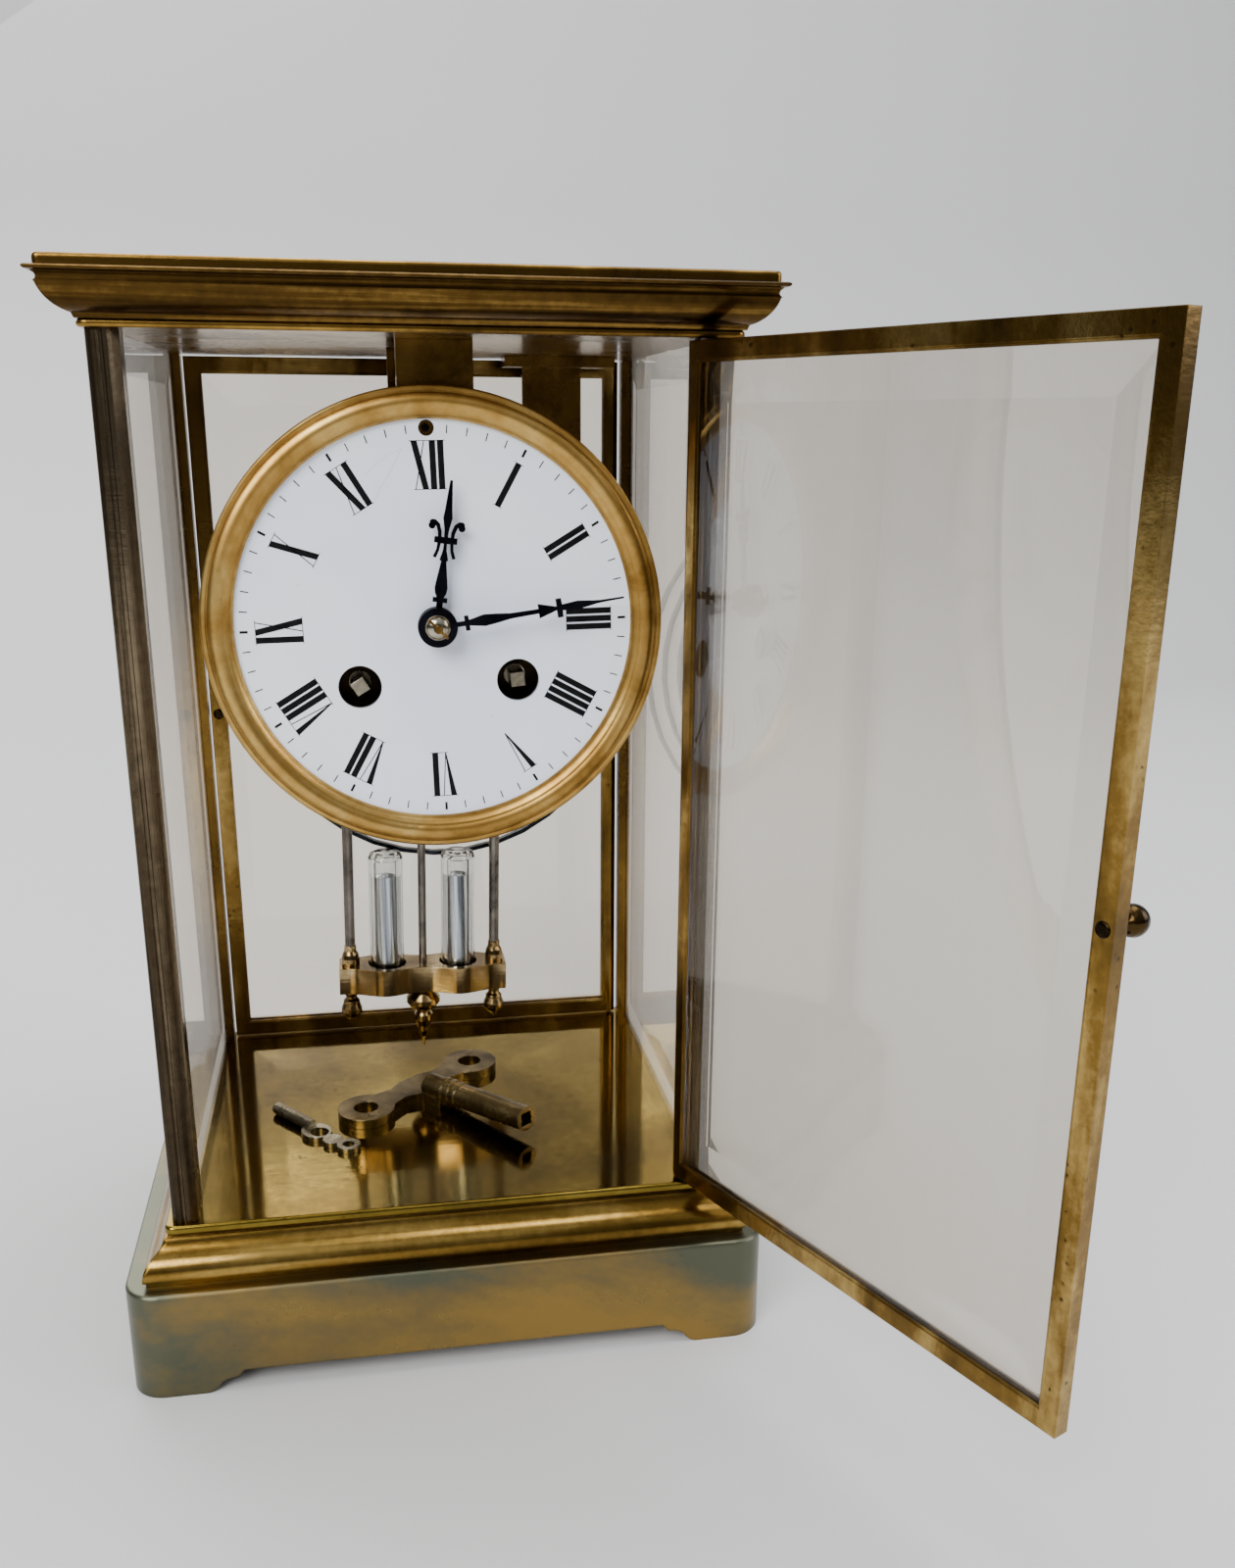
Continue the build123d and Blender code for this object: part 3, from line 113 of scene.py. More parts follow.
def metal(name, low, mid, high, rough=0.3, spread=0.12, streak=(1, 1, 1), blotch=45.0, scratch=0.2, pits=0.3,
          edges=(0.30, 0.50, 0.72), rim=0.0004, grit=0.22, offset=(0, 0, 0)):
    """Rolled or cast metal dulled by age.

    A coarse cloud (a few centimetres) carries the tarnish from the low colour to the high one, a fine cloud
    (millimetres) breaks it up, thin stretched noise gives rubbed scratches and a sparse cell pattern the pits.
    The rim, in metres, rounds the look of every edge as polishing does.
    """
    made, tree, shader, place = new_material(name)
    # tarnish: patches 1000 / blotch mm across, drawn out by streak, with 2.6 mm grit in them
    flow = add(tree, "ShaderNodeMapping", Vector=place, Scale=streak, Location=offset).outputs["Vector"]
    cloud = add(tree, "ShaderNodeTexNoise", Vector=flow, Scale=blotch, Detail=5.0, Roughness=0.55, Distortion=0.5)
    grain = add(tree, "ShaderNodeTexNoise", Vector=place, Scale=380.0, Detail=4.0, Roughness=0.65)
    both = add(tree, "ShaderNodeMath", {"operation": "MULTIPLY_ADD"},
               i0=grain.outputs["Fac"], i1=grit, i2=cloud.outputs["Fac"])
    tone = add(tree, "ShaderNodeMath", {"operation": "SUBTRACT"}, i0=both.outputs[0], i1=grit / 2)
    colour = add(tree, "ShaderNodeValToRGB", stops=tuple(zip(edges, (low, mid, high))), Fac=tone.outputs[0])
    # pits: spots under 1 mm on a 3 mm net, only where a 17 mm cloud is thick, darkened by old stain
    cell = add(tree, "ShaderNodeTexVoronoi", {"feature": "F1"}, Vector=place, Scale=330.0, Randomness=1.0)
    spot = add(tree, "ShaderNodeMapRange", Value=cell.outputs["Distance"], From_Min=0.04, From_Max=0.24)
    gate = add(tree, "ShaderNodeTexNoise", Vector=place, Scale=60.0, Detail=2.0)
    keep = add(tree, "ShaderNodeMath", {"operation": "GREATER_THAN"}, i0=gate.outputs["Fac"], i1=0.60)
    wound = add(tree, "ShaderNodeMath", {"operation": "SUBTRACT"}, i0=1.0, i1=spot.outputs["Result"])
    pit = add(tree, "ShaderNodeMath", {"operation": "MULTIPLY"}, i0=wound.outputs[0], i1=keep.outputs[0])
    amount = add(tree, "ShaderNodeMath", {"operation": "MULTIPLY"}, i0=pit.outputs[0], i1=pits * 1.4)
    stained = add(tree, "ShaderNodeMix", {"data_type": "RGBA"}, i0=amount.outputs[0], i6=colour.outputs["Color"],
                  i7=linear(STAIN))
    tree.links.new(stained.outputs[2], shader.inputs["Base Color"])
    # bright, rubbed metal is smoother than tarnished metal
    dull = add(tree, "ShaderNodeMapRange", Value=tone.outputs[0], From_Min=0.3, From_Max=0.7,
               To_Min=rough + spread, To_Max=max(0.05, rough - spread * 0.5))
    tree.links.new(dull.outputs["Result"], shader.inputs["Roughness"])
    # relief: scratches 17 mm long and 1.1 mm apart, drawn coarser than real ones so that they show, the pits,
    # and a 45 mm swell left by hand finishing
    lines = add(tree, "ShaderNodeMapping", Vector=place, Scale=(60, 900, 900)).outputs["Vector"]
    rub = add(tree, "ShaderNodeTexNoise", Vector=lines, Scale=1.0, Detail=3.0)
    height = add(tree, "ShaderNodeMath", {"operation": "MULTIPLY_ADD"},
                 i0=pit.outputs[0], i1=-pits, i2=rub.outputs["Fac"])
    wave = add(tree, "ShaderNodeTexNoise", Vector=place, Scale=22.0, Detail=1.0)
    swell = add(tree, "ShaderNodeMath", {"operation": "MULTIPLY_ADD"},
                i0=wave.outputs["Fac"], i1=4.0, i2=height.outputs[0])
    worn_edge = add(tree, "ShaderNodeBevel", {"samples": 4}, Radius=rim)
    bump = add(tree, "ShaderNodeBump", Strength=scratch, Distance=0.00015, Height=swell.outputs[0],
               Normal=worn_edge.outputs["Normal"])
    tree.links.new(bump.outputs["Normal"], shader.inputs["Normal"])
    shader.inputs["Metallic"].default_value = 1.0
    return made


def clear_glass(name, tint="e3dacb", alpha=0.8):
    """Drawn plate glass or a blown tube: index 1.5, nearly colourless, with a trace of dust in 6 mm patches."""
    made, tree, shader, place = new_material(name)
    dust = add(tree, "ShaderNodeTexNoise", Vector=place, Scale=160.0, Detail=3.0)
    film = add(tree, "ShaderNodeMapRange", Value=dust.outputs["Fac"], From_Min=0.5, From_Max=0.8,
               To_Min=0.0, To_Max=0.012)
    tree.links.new(film.outputs["Result"], shader.inputs["Roughness"])
    shader.inputs["Base Color"].default_value = linear(tint)
    shader.inputs["Transmission Weight"].default_value = 1.0
    shader.inputs["IOR"].default_value = 1.5
    shader.inputs["Alpha"].default_value = alpha
    return made


def white_enamel():
    """Fired vitreous enamel on copper: a hard white gloss, faintly blue and barely uneven.

    The tone drifts over 38 mm, dirt specks of 0.2 mm lie 8 mm apart and the gloss ripples every 14 mm.
    """
    made, tree, shader, place = new_material("vitreous_enamel")
    cloud = add(tree, "ShaderNodeTexNoise", Vector=place, Scale=26.0, Detail=3.0)
    tone = add(tree, "ShaderNodeValToRGB", stops=((0.35, "e9f0ff"), (0.65, "f4f8ff")), Fac=cloud.outputs["Fac"])
    speck = add(tree, "ShaderNodeTexVoronoi", Vector=place, Scale=120.0)
    near = add(tree, "ShaderNodeMath", {"operation": "LESS_THAN"}, i0=speck.outputs["Distance"], i1=0.020)
    dirty = add(tree, "ShaderNodeMix", {"data_type": "RGBA"}, i0=near.outputs[0], i6=tone.outputs["Color"],
                i7=linear("c4c1bb"))
    tree.links.new(dirty.outputs[2], shader.inputs["Base Color"])
    wave = add(tree, "ShaderNodeTexNoise", Vector=place, Scale=70.0, Detail=2.0)
    bump = add(tree, "ShaderNodeBump", Strength=0.05, Distance=0.0005, Height=wave.outputs["Fac"])
    tree.links.new(bump.outputs["Normal"], shader.inputs["Normal"])
    shader.inputs["Roughness"].default_value = 0.12
    shader.inputs["Coat Weight"].default_value = 0.4
    return made


def black_paint(name="fired_black", dark="050506", worn="101012"):
    """Black fired into the enamel: flush and semi-gloss, worn a little in 2 mm patches.

    Its low specular level keeps the marks black under the broad lights.
    """
    made, tree, shader, place = new_material(name)
    wear = add(tree, "ShaderNodeTexNoise", Vector=place, Scale=500.0, Detail=3.0)
    tone = add(tree, "ShaderNodeValToRGB", stops=((0.3, dark), (0.75, worn)), Fac=wear.outputs["Fac"])
    tree.links.new(tone.outputs["Color"], shader.inputs["Base Color"])
    shader.inputs["Roughness"].default_value = 0.45
    shader.inputs["Specular IOR Level"].default_value = 0.12
    return made


def quicksilver():
    """Mercury behind glass: a mirror whose colour carries soft upright bands, 1.1 mm wide and 83 mm long, a
    painted reflection of the room on the round column.
    """
    made, tree, shader, place = new_material("mercury")
    upright = add(tree, "ShaderNodeMapping", Vector=place, Scale=(900, 900, 12)).outputs["Vector"]
    # painted reflection: pale and dark upright bands in the colour stand for the room mirrored round the column
    painted_reflection_bands = add(tree, "ShaderNodeTexNoise", Vector=upright, Scale=1.0, Detail=2.0)
    tone = add(tree, "ShaderNodeValToRGB", stops=((0.36, "4c525a"), (0.5, "a9afb6"), (0.64, "dde1e6")),
               Fac=painted_reflection_bands.outputs["Fac"])
    tree.links.new(tone.outputs["Color"], shader.inputs["Base Color"])
    shader.inputs["Metallic"].default_value = 1.0
    shader.inputs["Roughness"].default_value = 0.12
    return made


FINISH = {}
METALS = {
    # cast and lacquered brass: warm, with tall soft tarnish where the lacquer has gone
    "case_brass": ("lacquered_case_brass", "3a2a10", "6f5325", "a8853f",
                   dict(rough=0.20, spread=0.12, streak=(1, 1, 0.25), blotch=40.0)),
    # drawn brass rubbed lengthwise: greyer, with long upright streaks
    "front_pillar": ("rubbed_pillar_brass", "231d15", "463b2c", "7d6f59",
                     dict(rough=0.24, spread=0.10, streak=(5, 5, 0.12), blotch=60.0, pits=0.15)),
    # sheet brass kept bright inside the case: a near mirror with dark spots
    "floor_brass": ("polished_deck_brass", "54441a", "786427", "9f8a42",
                    dict(rough=0.06, spread=0.06, blotch=16.0, scratch=0.10, pits=0.45)),
    # turned and polished along its length: level streaks, bright on the rounds
    "cornice_brass": ("streaked_cornice_brass", "241909", "4d3818", "94733a",
                      dict(rough=0.17, spread=0.10, streak=(0.1, 0.1, 5), blotch=60.0, scratch=0.12, pits=0.2,
                           rim=0.0008)),
    # the step above the plinth: polished, with soft level streaks and well rounded edges
    "moulding_brass": ("polished_moulding_brass", "4a3613", "7d6029", "b89853",
                       dict(rough=0.13, spread=0.08, streak=(0.3, 0.3, 3), blotch=40.0, scratch=0.08, pits=0.2,
                            rim=0.0016)),
    # unlacquered brass handled for years: broad grey-green patches in dull gold
    "plinth_brass": ("patinated_plinth_brass", "5c5d4d", "7b6a45", "957a42",
                     dict(rough=0.26, spread=0.08, streak=(0.6, 0.6, 1.3), blotch=11.0, scratch=0.08, pits=0.12,
                          edges=(0.41, 0.48, 0.56), rim=0.0012, grit=0.07, offset=(0.0, 0.0, 3.37))),
    # milled door bars: bright gold with many small dark pits
    "door_brass": ("gilt_door_brass", "3d2d12", "7a5e2b", "cdae68",
                   dict(rough=0.17, spread=0.10, streak=(1, 1, 0.3), blotch=50.0, pits=0.7)),
    # fire-gilt bronze: an even, satin gold
    "gilt": ("satin_ormolu", "83602a", "ad8746", "cba963",
             dict(rough=0.33, spread=0.06, blotch=60.0, scratch=0.1, pits=0.1)),
    # turned and polished brass: pale and clean
    "pendulum_brass": ("polished_pendulum_brass", "4a3a20", "86704a", "cbb488",
                       dict(rough=0.12, spread=0.06, blotch=60.0, scratch=0.06, pits=0.1)),
    # hammered and filed brass wheels: matt, evenly browned
    "movement_brass": ("planished_brass", "42300f", "75582a", "a58340",
                       dict(rough=0.24, spread=0.10, blotch=60.0, scratch=0.15, pits=0.2)),
    # painted shade: the plates behind the dial, seen only through the dial's holes, made dark and dull brass to
    # stand for the shade inside those holes
    "painted_shade_brass": ("painted_shade_plate_brass", "151008", "261d0f", "3d3018",
                     dict(rough=0.5, spread=0.1, blotch=60.0, scratch=0.1, pits=0.1)),
    # steel blued by heat: nearly black with a cold gloss
    "blued_steel": ("blued_steel", "09090d", "121218", "202028",
                    dict(rough=0.25, spread=0.06, blotch=80.0, scratch=0.05, pits=0.0)),
    # coiled and tempered steel: blue-grey, smooth
    "gong_blue": ("tempered_gong_steel", "0b0d10", "171a1e", "2c3034",
                  dict(rough=0.22, spread=0.06, blotch=30.0, scratch=0.05, pits=0.0)),
    # turned steel kept oiled: a soft grey shine
    "steel": ("oiled_steel", "3d3935", "66605a", "8d877f",
              dict(rough=0.22, spread=0.08, blotch=90.0, scratch=0.1, pits=0.2)),
    # pressed and polished steel: a small pale dome
    "washer_steel": ("domed_washer_steel", "5d574a", "8d8676", "b9b3a2",
                     dict(rough=0.16, spread=0.06, blotch=200.0, scratch=0.05, pits=0.1)),
    # cast brass carried in a pocket: rubbed pale on the edges, stained in the hollows
    "key_brass": ("worn_key_brass", "3d311d", "6c5d3d", "97865f",
                  dict(rough=0.27, spread=0.10, blotch=70.0, pits=0.4)),
    # squares and pipes in worn steel: warm grey, freckled
    "key_steel": ("worn_key_steel", "4d4839", "777060", "a9a28e",
                  dict(rough=0.24, spread=0.10, blotch=120.0, pits=0.4)),
    # turned brass gone brown in the hand
    "dark_knob": ("darkened_brass", "15100a", "2a2012", "4c3a1e",
                  dict(rough=0.22, spread=0.08, blotch=200.0, scratch=0.1, pits=0.2)),
}


def finishes():
    """All the clock's finishes, made once."""
    if FINISH:
        return FINISH
    for slot, (name, low, mid, high, settings) in METALS.items():
        FINISH[slot] = metal(name, low, mid, high, **settings)
    # plate glass shows its thickness as a warm tint, the vials are clear
    FINISH["glass"] = clear_glass("bevelled_plate_glass")
    FINISH["vial_glass"] = clear_glass("blown_vial_glass", "f0f2f2", 1.0)
    FINISH["enamel"] = white_enamel()
    FINISH["black"] = black_paint()
    # grey dirt in the cracks of the enamel
    FINISH["crack"] = black_paint("hairline_crack", "8d8a84", "a8a59f")
    FINISH["mercury"] = quicksilver()
    return FINISH


# nodes whose finish isn't that of their slot
BY_NODE = {
    "floor_plate": "floor_brass", "cornice": "cornice_brass", "top_plate": "case_brass",
    "base_moulding": "moulding_brass", "pillar_front_left": "front_pillar", "pillar_front_right": "front_pillar",
    # the dial plate and front plate take the dark brass that is painted shade, standing for the shade seen in the
    # dial's holes
    "dial_plate": "painted_shade_brass", "front_plate": "painted_shade_brass", "hand_washer": "washer_steel",
    "regulator_arbor": "blued_steel", "going_arbor": "key_steel", "strike_arbor": "key_steel",
    "gong_coil": "gong_blue", "vials": "vial_glass", "pendulum_yoke": "pendulum_brass",
    "pendulum_bracket": "pendulum_brass", "pendulum_finials": "pendulum_brass", "rating_nut": "pendulum_brass",
}


def paint(names):
    """Give each named CAD node the finish of its slot, or its own where it has one."""
    kinds = {s["node"]: s["material_slot"] for s in frame["record"]["subparts"]}
    for name in names:
        node = frame["nodes"][name]
        node.data.materials.clear()
        node.data.materials.append(finishes()[BY_NODE.get(name, kinds[name])])


# ------------------------------------------------------------------ shapes
def from_middle(x, y, z):
    """A place in metres given from the middle of the base, as a vector in the clock's own frame."""
    return Vector((x + MIDDLE[0], y + MIDDLE[1], z))


def mesh_piece(name, points, faces, finish, body):
    """Make a mesh from arrays of points (mm) and faces, give it a finish and let it ride a body."""
    data = bpy.data.meshes.new(name)
    data.from_pydata((np.asarray(points, float) / 1000).tolist(), [], np.asarray(faces).tolist())
    data.validate()
    data.materials.append(finish)
    made = bpy.data.objects.new(name, data)
    bpy.context.scene.collection.objects.link(made)
    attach(made, body)
    return made


def on_dial(x, y, depth):
    """Dial coordinates (right, up, depth) to the frame: turned by the dial's tilt about its centre."""
    x, y = np.asarray(x, float), np.asarray(y, float)
    across = DIAL[0] + x * math.cos(TILT) - y * math.sin(TILT)
    up = DIAL[2] + x * math.sin(TILT) + y * math.cos(TILT)
    return np.stack([across, np.full_like(across, depth), up], -1)


def plates(quads, front, back):
    """Thin prisms from flat quads (n, 4, 2) in dial coordinates, all in one pair of arrays.

    Each quad's signed area is half the sum of x1 * y2 - x2 * y1 round its corners; where that is below zero the
    quad runs clockwise and is reversed, so every face looks outwards.
    """
    quads = np.asarray(quads, float)
    n = len(quads)
    after = np.roll(quads, -1, 1)
    area = (quads[..., 0] * after[..., 1] - after[..., 0] * quads[..., 1]).sum(1)
    quads = np.where((area < 0)[:, None, None], quads[:, ::-1], quads)
    near = on_dial(quads[..., 0], quads[..., 1], front)
    far = on_dial(quads[..., 0], quads[..., 1], back)
    points = np.concatenate([near, far], 1).reshape(-1, 3)
    block = np.array([[0, 1, 2, 3], [7, 6, 5, 4], [0, 4, 5, 1], [1, 5, 6, 2], [2, 6, 7, 3], [3, 7, 4, 0]])
    faces = (np.arange(n)[:, None, None] * 8 + block).reshape(-1, 4)
    return points, faces


# the numerals, in mm: thick and hair strokes, the room an I and a V or X take, and the serifs
BAR, HAIR, PITCH, WIDE = 1.52, 0.24, 1.97, 4.4
SERIF_PAST, SERIF_THICK, LEAST_SERIF = 0.4, 0.16, 1.5


def stroke(x0, y0, x1, y1, width, end=None):
    """A bar from (x0, y0) to (x1, y1) whose ends stay level; end is its width at the second point."""
    half, tip = width / 2, (width if end is None else end) / 2
    return [[(x0 - half, y0), (x0 + half, y0), (x1 + tip, y1), (x1 - tip, y1)]]


def letters(word, foot, head):
    """Quads of a Roman numeral from foot to head, centred on x = 0: thick and hair strokes, and serifs as fine
    level lines that run the whole width of each end."""
    widths = {"I": PITCH, "V": WIDE, "X": WIDE}
    total = sum(widths[c] for c in word)
    quads, x = [], -total / 2
    heads, feet = [], []
    for c in word:
        mid = x + widths[c] / 2
        if c == "I":
            quads += stroke(mid, foot, mid, head, BAR)
            heads += [mid - BAR / 2, mid + BAR / 2]
            feet += [mid - BAR / 2, mid + BAR / 2]
        elif c == "V":
            quads += stroke(mid - 1.2, head, mid + 0.5, foot, BAR, 0.25)
            quads += stroke(mid + 1.4, head, mid + 0.5, foot, HAIR)
            heads += [mid - 1.9, mid + 1.5]
            feet += [mid + 0.4, mid + 0.6]
        else:
            quads += stroke(mid - 1.25, head, mid + 1.25, foot, BAR)
            quads += stroke(mid + 1.25, head, mid - 1.25, foot, HAIR)
            heads += [mid - 1.95, mid + 1.35]
            feet += [mid - 1.35, mid + 1.95]
        x += widths[c]
    for ends, level, inward in ((heads, head, -SERIF_THICK), (feet, foot, SERIF_THICK)):
        left, right = min(ends) - SERIF_PAST, max(ends) + SERIF_PAST
        if right - left > LEAST_SERIF:
            quads.append([(left, level), (right, level), (right, level + inward), (left, level + inward)])
    return quads


def turned(quads, clockwise):
    """Turn quads about the dial's centre by degrees clockwise."""
    a = math.radians(clockwise)
    x, y = np.moveaxis(np.asarray(quads, float), -1, 0)
    return np.stack([x * math.cos(a) + y * math.sin(a), -x * math.sin(a) + y * math.cos(a)], -1)


# ------------------------------------------------------------------ names and sizes
CASE = ["plinth", "base_moulding", "floor_plate", "pillar_front_left", "pillar_front_right", "pillar_rear_left",
        "pillar_rear_right", "side_glass_left", "side_glass_right", "ceiling_plate", "cornice", "top_plate",
        "case_screws", "door_pivot_pins"]
DOORS = [f"{side}_door_{part}" for side in ("front", "rear") for part in ("frame", "glass", "knob")]
MOVEMENT = ["movement_hanger_front", "movement_hanger_rear", "suspension_cock", "hanger_screws", "dial_plate",
            "front_plate", "back_plate", "plate_pillars", "cannon_pinion", "hour_wheel", "minute_wheel",
            "centre_arbor", "going_barrel", "going_arbor", "third_wheel", "escape_wheel", "pallets", "crutch",
            "strike_barrel", "strike_arbor", "strike_wheel", "hammer", "regulator_arbor"]
FACE = ["bezel", "dial", "minute_hand", "hour_hand", "hand_washer"]
PENDULUM = ["suspension_spring", "pendulum_yoke", "pendulum_rods", "pendulum_bracket", "vials", "mercury_columns",
            "pendulum_finials", "rating_nut"]
GONG = ["gong_bracket", "gong_coil"]
KEYS = ["winding_key", "regulator_key"]

# the marks on the dial, in mm: how far they and the cracks stand proud of the enamel, how far both go into it,
# and the widths of a tick at the hours, a tick between them and a crack
MARK_PROUD, CRACK_PROUD, MARK_SUNK = 0.03, 0.02, 0.01
HOUR_TICK, MINUTE_TICK, CRACK = 0.62, 0.28, 0.07
HOURS = ("XII", "I", "II", "III", "IIII", "V", "VI", "VII", "VIII", "IX", "X", "XI")
CRACKS = (((-6.1, 42.7), (-9.3, 41.3), (-12.6, 39.0), (-15.2, 36.6)),
          ((-6.3, 42.3), (-8.9, 37.6), (-11.6, 33.6), (-13.4, 30.4)))

# the paper sweep, in mm from the middle of the base: where it starts and turns up, the radius of the turn, where
# its wall starts and ends, and half its width
SWEEP_START, SWEEP_TURN, SWEEP_RADIUS = -2500, 900, 500
WALL_FOOT, WALL_TOP, SWEEP_HALF = 520, 3000, 7000
# each lamp: its place and what it faces in metres from the middle of the base, its side, its power as a share
# of the key light's, and its colour
LAMPS = (
    ("front_softbox", (-0.9, -1.3, 1.25), (0, 0, 0.16), 1.1, 4.0, "ffffff"),
    ("right_window", (1.6, -0.5, 0.9), (0, 0, 0.16), 1.0, 2.2, "f4f7ff"),
    ("top_panel", (0.1, 0.2, 1.7), (0, 0, 0.1), 1.2, 2.4, "ffffff"),
    ("back_panel", (-0.5, 1.2, 0.9), (0, 0, 0.16), 1.0, 1.2, "ffffff"),
)
# the camera: its place in metres from the middle of the base, how far it is turned right, down and over in
# degrees, its focal length on a 36 mm film and its rise
EYE_PLACE = (-0.016220, -0.396362, 0.245808)
EYE_YAW, EYE_PITCH, EYE_ROLL = 10.329, 17.025, 0.371
FILM, FOCAL, RISE = 36.0, 31.927, 0.0441


# ------------------------------------------------------------------ settings
class ClockDial(bpy.types.PropertyGroup):
    """Radii of the dial's marks."""
    numeral_foot: bpy.props.FloatProperty(
        name="Numeral foot", description="Radius of the numerals' inner ends", default=0.0328, subtype="DISTANCE")
    numeral_head: bpy.props.FloatProperty(
        name="Numeral head", description="Radius of the numerals' outer ends", default=0.0444, subtype="DISTANCE")
    tick_inner: bpy.props.FloatProperty(
        name="Tick inner", description="Radius where the minute ticks start", default=0.0461, subtype="DISTANCE")
    tick_outer: bpy.props.FloatProperty(
        name="Tick outer", description="Radius where the minute ticks end", default=0.0481, subtype="DISTANCE")


class ClockStage(bpy.types.PropertyGroup):
    """Light and floor."""
    key_power: bpy.props.FloatProperty(
        name="Key light", description="Power that the lamps take their shares of", default=10.4, unit="POWER")
    fill: bpy.props.FloatProperty(
        name="Room light", description="Strength of the surrounding light", default=0.8)
    floor_colour: bpy.props.FloatVectorProperty(
        name="Floor", description="Colour of the pale floor", subtype="COLOR", size=4,
        default=(0.56, 0.557, 0.553, 1.0))


# ------------------------------------------------------------------ pieces
class CLOCK_OT_case(bpy.types.Operator):
    """Finish the plinth, mouldings, pillars, side glasses and cornice"""
    bl_idname, bl_label = "clock.case", "Case"

    def execute(self, context):
        paint(CASE)
        return {"FINISHED"}


class CLOCK_OT_doors(bpy.types.Operator):
    """Finish both doors with their glass and knobs"""
    bl_idname, bl_label = "clock.doors", "Doors"

    def execute(self, context):
        paint(DOORS)
        return {"FINISHED"}


class CLOCK_OT_movement(bpy.types.Operator):
    """Finish the plates, trains and hangers"""
    bl_idname, bl_label = "clock.movement", "Movement"

    def execute(self, context):
        paint(MOVEMENT)
        return {"FINISHED"}


class CLOCK_OT_dial(bpy.types.Operator):
    """Finish the dial, bezel and hands, and fire the numerals and minute ticks onto the enamel"""
    bl_idname, bl_label = "clock.dial", "Dial"

    def execute(self, context):
        paint(FACE)
        sizes = context.scene.clock_dial
        foot, head = sizes.numeral_foot * 1000, sizes.numeral_head * 1000
        inner, outer = sizes.tick_inner * 1000, sizes.tick_outer * 1000
        numerals, ticks, cracks = [], [], []
        for hour, word in enumerate(HOURS):
            numerals += turned(letters(word, foot, head), 30 * hour).tolist()
        for minute in range(1, 60):
            width = HOUR_TICK if minute % 5 == 0 else MINUTE_TICK
            ticks += turned(stroke(0, inner, 0, outer, width), 6 * minute).tolist()
        for line in CRACKS:
            for (x0, y0), (x1, y1) in zip(line, line[1:]):
                cracks += stroke(x0, y0, x1, y1, CRACK)
        for name, quads, proud, finish in (("dial_numerals", numerals, MARK_PROUD, "black"),
                                           ("dial_ticks", ticks, MARK_PROUD, "black"),
                                           ("dial_cracks", cracks, CRACK_PROUD, "crack")):
            points, faces = plates(quads, DIAL[1] - proud, DIAL[1] + MARK_SUNK)
            mesh_piece(name, points, faces, finishes()[finish], "case")
        return {"FINISHED"}


class CLOCK_OT_pendulum(bpy.types.Operator):
    """Finish the mercury pendulum"""
    bl_idname, bl_label = "clock.pendulum", "Pendulum"

    def execute(self, context):
        paint(PENDULUM)
        return {"FINISHED"}


class CLOCK_OT_gong(bpy.types.Operator):
    """Finish the gong and its bracket"""
    bl_idname, bl_label = "clock.gong", "Gong"

    def execute(self, context):
        paint(GONG)
        return {"FINISHED"}


class CLOCK_OT_keys(bpy.types.Operator):
    """Finish the two loose keys"""
    bl_idname, bl_label = "clock.keys", "Keys"

    def execute(self, context):
        paint(KEYS)
        return {"FINISHED"}


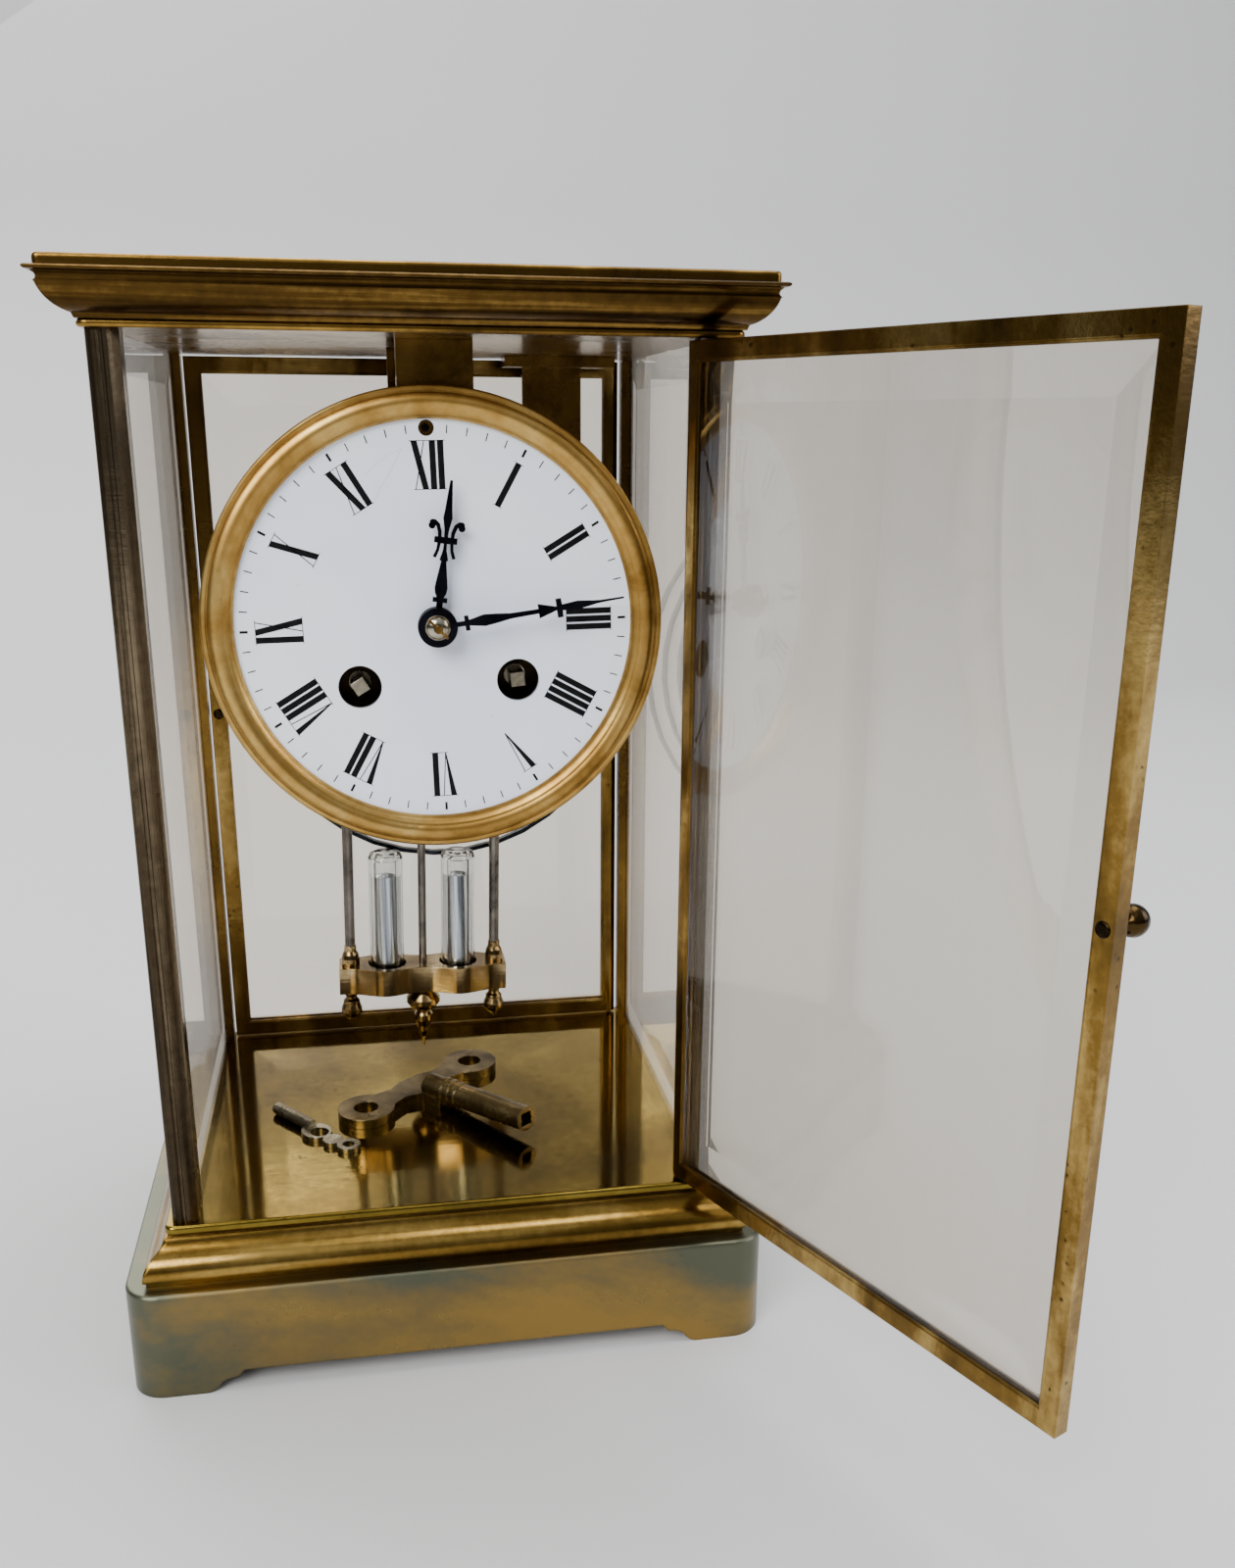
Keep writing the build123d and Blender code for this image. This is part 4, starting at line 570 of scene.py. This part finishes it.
class CLOCK_OT_stage(bpy.types.Operator):
    """Lay the pale floor and set the lights and the camera"""
    bl_idname, bl_label = "clock.stage", "Stage"

    def execute(self, context):
        scene, sizes = context.scene, context.scene.clock_stage
        # matt paper: even, with a 3% mottle in patches of 170 mm
        made, tree, shader, place = new_material("matt_paper_sweep")
        mottle = add(tree, "ShaderNodeTexNoise", Vector=place, Scale=6.0, Detail=2.0)
        tone = add(tree, "ShaderNodeMix", {"data_type": "RGBA"}, i0=mottle.outputs["Fac"],
                   i6=tuple(sizes.floor_colour), i7=tuple(c * 0.97 for c in sizes.floor_colour[:3]) + (1.0,))
        tree.links.new(tone.outputs[2], shader.inputs["Base Color"])
        shader.inputs["Roughness"].default_value = 0.75
        # the sweep: a floor, a quarter turn (sine forward, one less cosine up) and a wall, drawn out sideways
        turn = np.linspace(0, math.pi / 2, 60)
        wall = SWEEP_TURN + SWEEP_RADIUS
        run = np.concatenate([np.linspace(SWEEP_START, SWEEP_TURN, 20), SWEEP_TURN + SWEEP_RADIUS * np.sin(turn),
                              np.full(10, float(wall))])
        rise = np.concatenate([np.zeros(20), SWEEP_RADIUS - SWEEP_RADIUS * np.cos(turn),
                               np.linspace(WALL_FOOT, WALL_TOP, 10)])
        across = np.linspace(-SWEEP_HALF, SWEEP_HALF, 12)
        count = (len(run), len(across))
        grid = np.stack([np.broadcast_to(across, count), np.broadcast_to(run[:, None], count),
                         np.broadcast_to(rise[:, None], count)], -1)
        index = np.arange(len(run) * len(across)).reshape(count)
        faces = np.stack([index[:-1, :-1], index[:-1, 1:], index[1:, 1:], index[1:, :-1]], -1).reshape(-1, 4)
        data = bpy.data.meshes.new("paper_sweep")
        data.from_pydata((grid.reshape(-1, 3) / 1000 + MIDDLE).tolist(), [], faces.tolist())
        data.materials.append(made)
        data.polygons.foreach_set("use_smooth", np.ones(len(data.polygons), bool))
        sweep = bpy.data.objects.new("paper_sweep", data)
        scene.collection.objects.link(sweep)
        # the room: darker below than above where it is reflected, and an even pale tone to the camera
        world = bpy.data.worlds.new("soft_room")
        world.use_nodes = True
        room = world.node_tree
        room.nodes.clear()
        way = add(room, "ShaderNodeSeparateXYZ", Vector=add(room, "ShaderNodeTexCoord").outputs["Generated"])
        level = add(room, "ShaderNodeMath", {"operation": "MULTIPLY_ADD"}, i0=way.outputs["Z"], i1=0.5, i2=0.5)
        walls = add(room, "ShaderNodeValToRGB", Fac=level.outputs[0],
                    stops=((0.40, "4a443b"), (0.56, "5c574f"), (0.66, "a6a7a8"), (0.85, "e4e8ee")))
        seen = add(room, "ShaderNodeLightPath").outputs["Is Camera Ray"]
        shown = add(room, "ShaderNodeMix", {"data_type": "RGBA"}, i0=seen, i6=walls.outputs["Color"],
                    i7=(1.25, 1.25, 1.26, 1.0))
        glow = add(room, "ShaderNodeBackground", Color=shown.outputs[2], Strength=sizes.fill)
        add(room, "ShaderNodeOutputWorld", Surface=glow.outputs["Background"])
        scene.world = world
        for name, spot, look, size, share, colour in LAMPS:
            lamp = bpy.data.lights.new(name, "AREA")
            lamp.size, lamp.energy, lamp.color = size, sizes.key_power * share, linear(colour)[:3]
            holder = bpy.data.objects.new(name, lamp)
            scene.collection.objects.link(holder)
            holder.location = from_middle(*spot)
            holder.rotation_mode = "QUATERNION"
            holder.rotation_quaternion = (Vector(look) - Vector(spot)).to_track_quat("-Z", "Y")
        lens = bpy.data.cameras.new("camera")
        lens.sensor_width, lens.sensor_fit, lens.lens = FILM, "AUTO", FOCAL
        lens.shift_y = RISE
        lens.clip_start, lens.clip_end = 0.01, 20.0
        eye = bpy.data.objects.new("camera", lens)
        scene.collection.objects.link(eye)
        yaw, pitch, roll = math.radians(EYE_YAW), math.radians(EYE_PITCH), math.radians(EYE_ROLL)
        forward = Vector((math.sin(yaw) * math.cos(pitch), math.cos(yaw) * math.cos(pitch), -math.sin(pitch)))
        level_right = Vector((math.cos(yaw), -math.sin(yaw), 0))
        level_up = level_right.cross(forward)
        right = level_right * math.cos(roll) + level_up * math.sin(roll)
        up = -level_right * math.sin(roll) + level_up * math.cos(roll)
        eye.rotation_mode = "QUATERNION"
        eye.rotation_quaternion = Matrix((right, up, -forward)).transposed().to_quaternion()
        eye.location = from_middle(*EYE_PLACE)
        scene.camera = eye
        return {"FINISHED"}


class CLOCK_PT_panel(bpy.types.Panel):
    """Sidebar list of the clock's pieces"""
    bl_idname, bl_label = "CLOCK_PT_panel", "Mantel clock"
    bl_space_type, bl_region_type, bl_category = "VIEW_3D", "UI", "Clock"

    def draw(self, context):
        for piece in OPERATORS:
            self.layout.operator(piece.bl_idname)


OPERATORS = (CLOCK_OT_case, CLOCK_OT_doors, CLOCK_OT_movement, CLOCK_OT_dial, CLOCK_OT_pendulum, CLOCK_OT_gong,
             CLOCK_OT_keys, CLOCK_OT_stage)
CLASSES = (ClockDial, ClockStage) + OPERATORS + (CLOCK_PT_panel,)


def register():
    """Add the classes and the scene's settings."""
    for each in CLASSES:
        bpy.utils.register_class(each)
    bpy.types.Scene.clock_dial = bpy.props.PointerProperty(type=ClockDial)
    bpy.types.Scene.clock_stage = bpy.props.PointerProperty(type=ClockStage)


def unregister():
    """Take them away again."""
    del bpy.types.Scene.clock_stage
    del bpy.types.Scene.clock_dial
    for each in reversed(CLASSES):
        bpy.utils.unregister_class(each)


def main():
    """Register, then build every piece in order."""
    register()
    for piece in OPERATORS:
        getattr(bpy.ops.clock, piece.bl_idname.split(".")[1])()


if __name__ == "__main__":
    main()
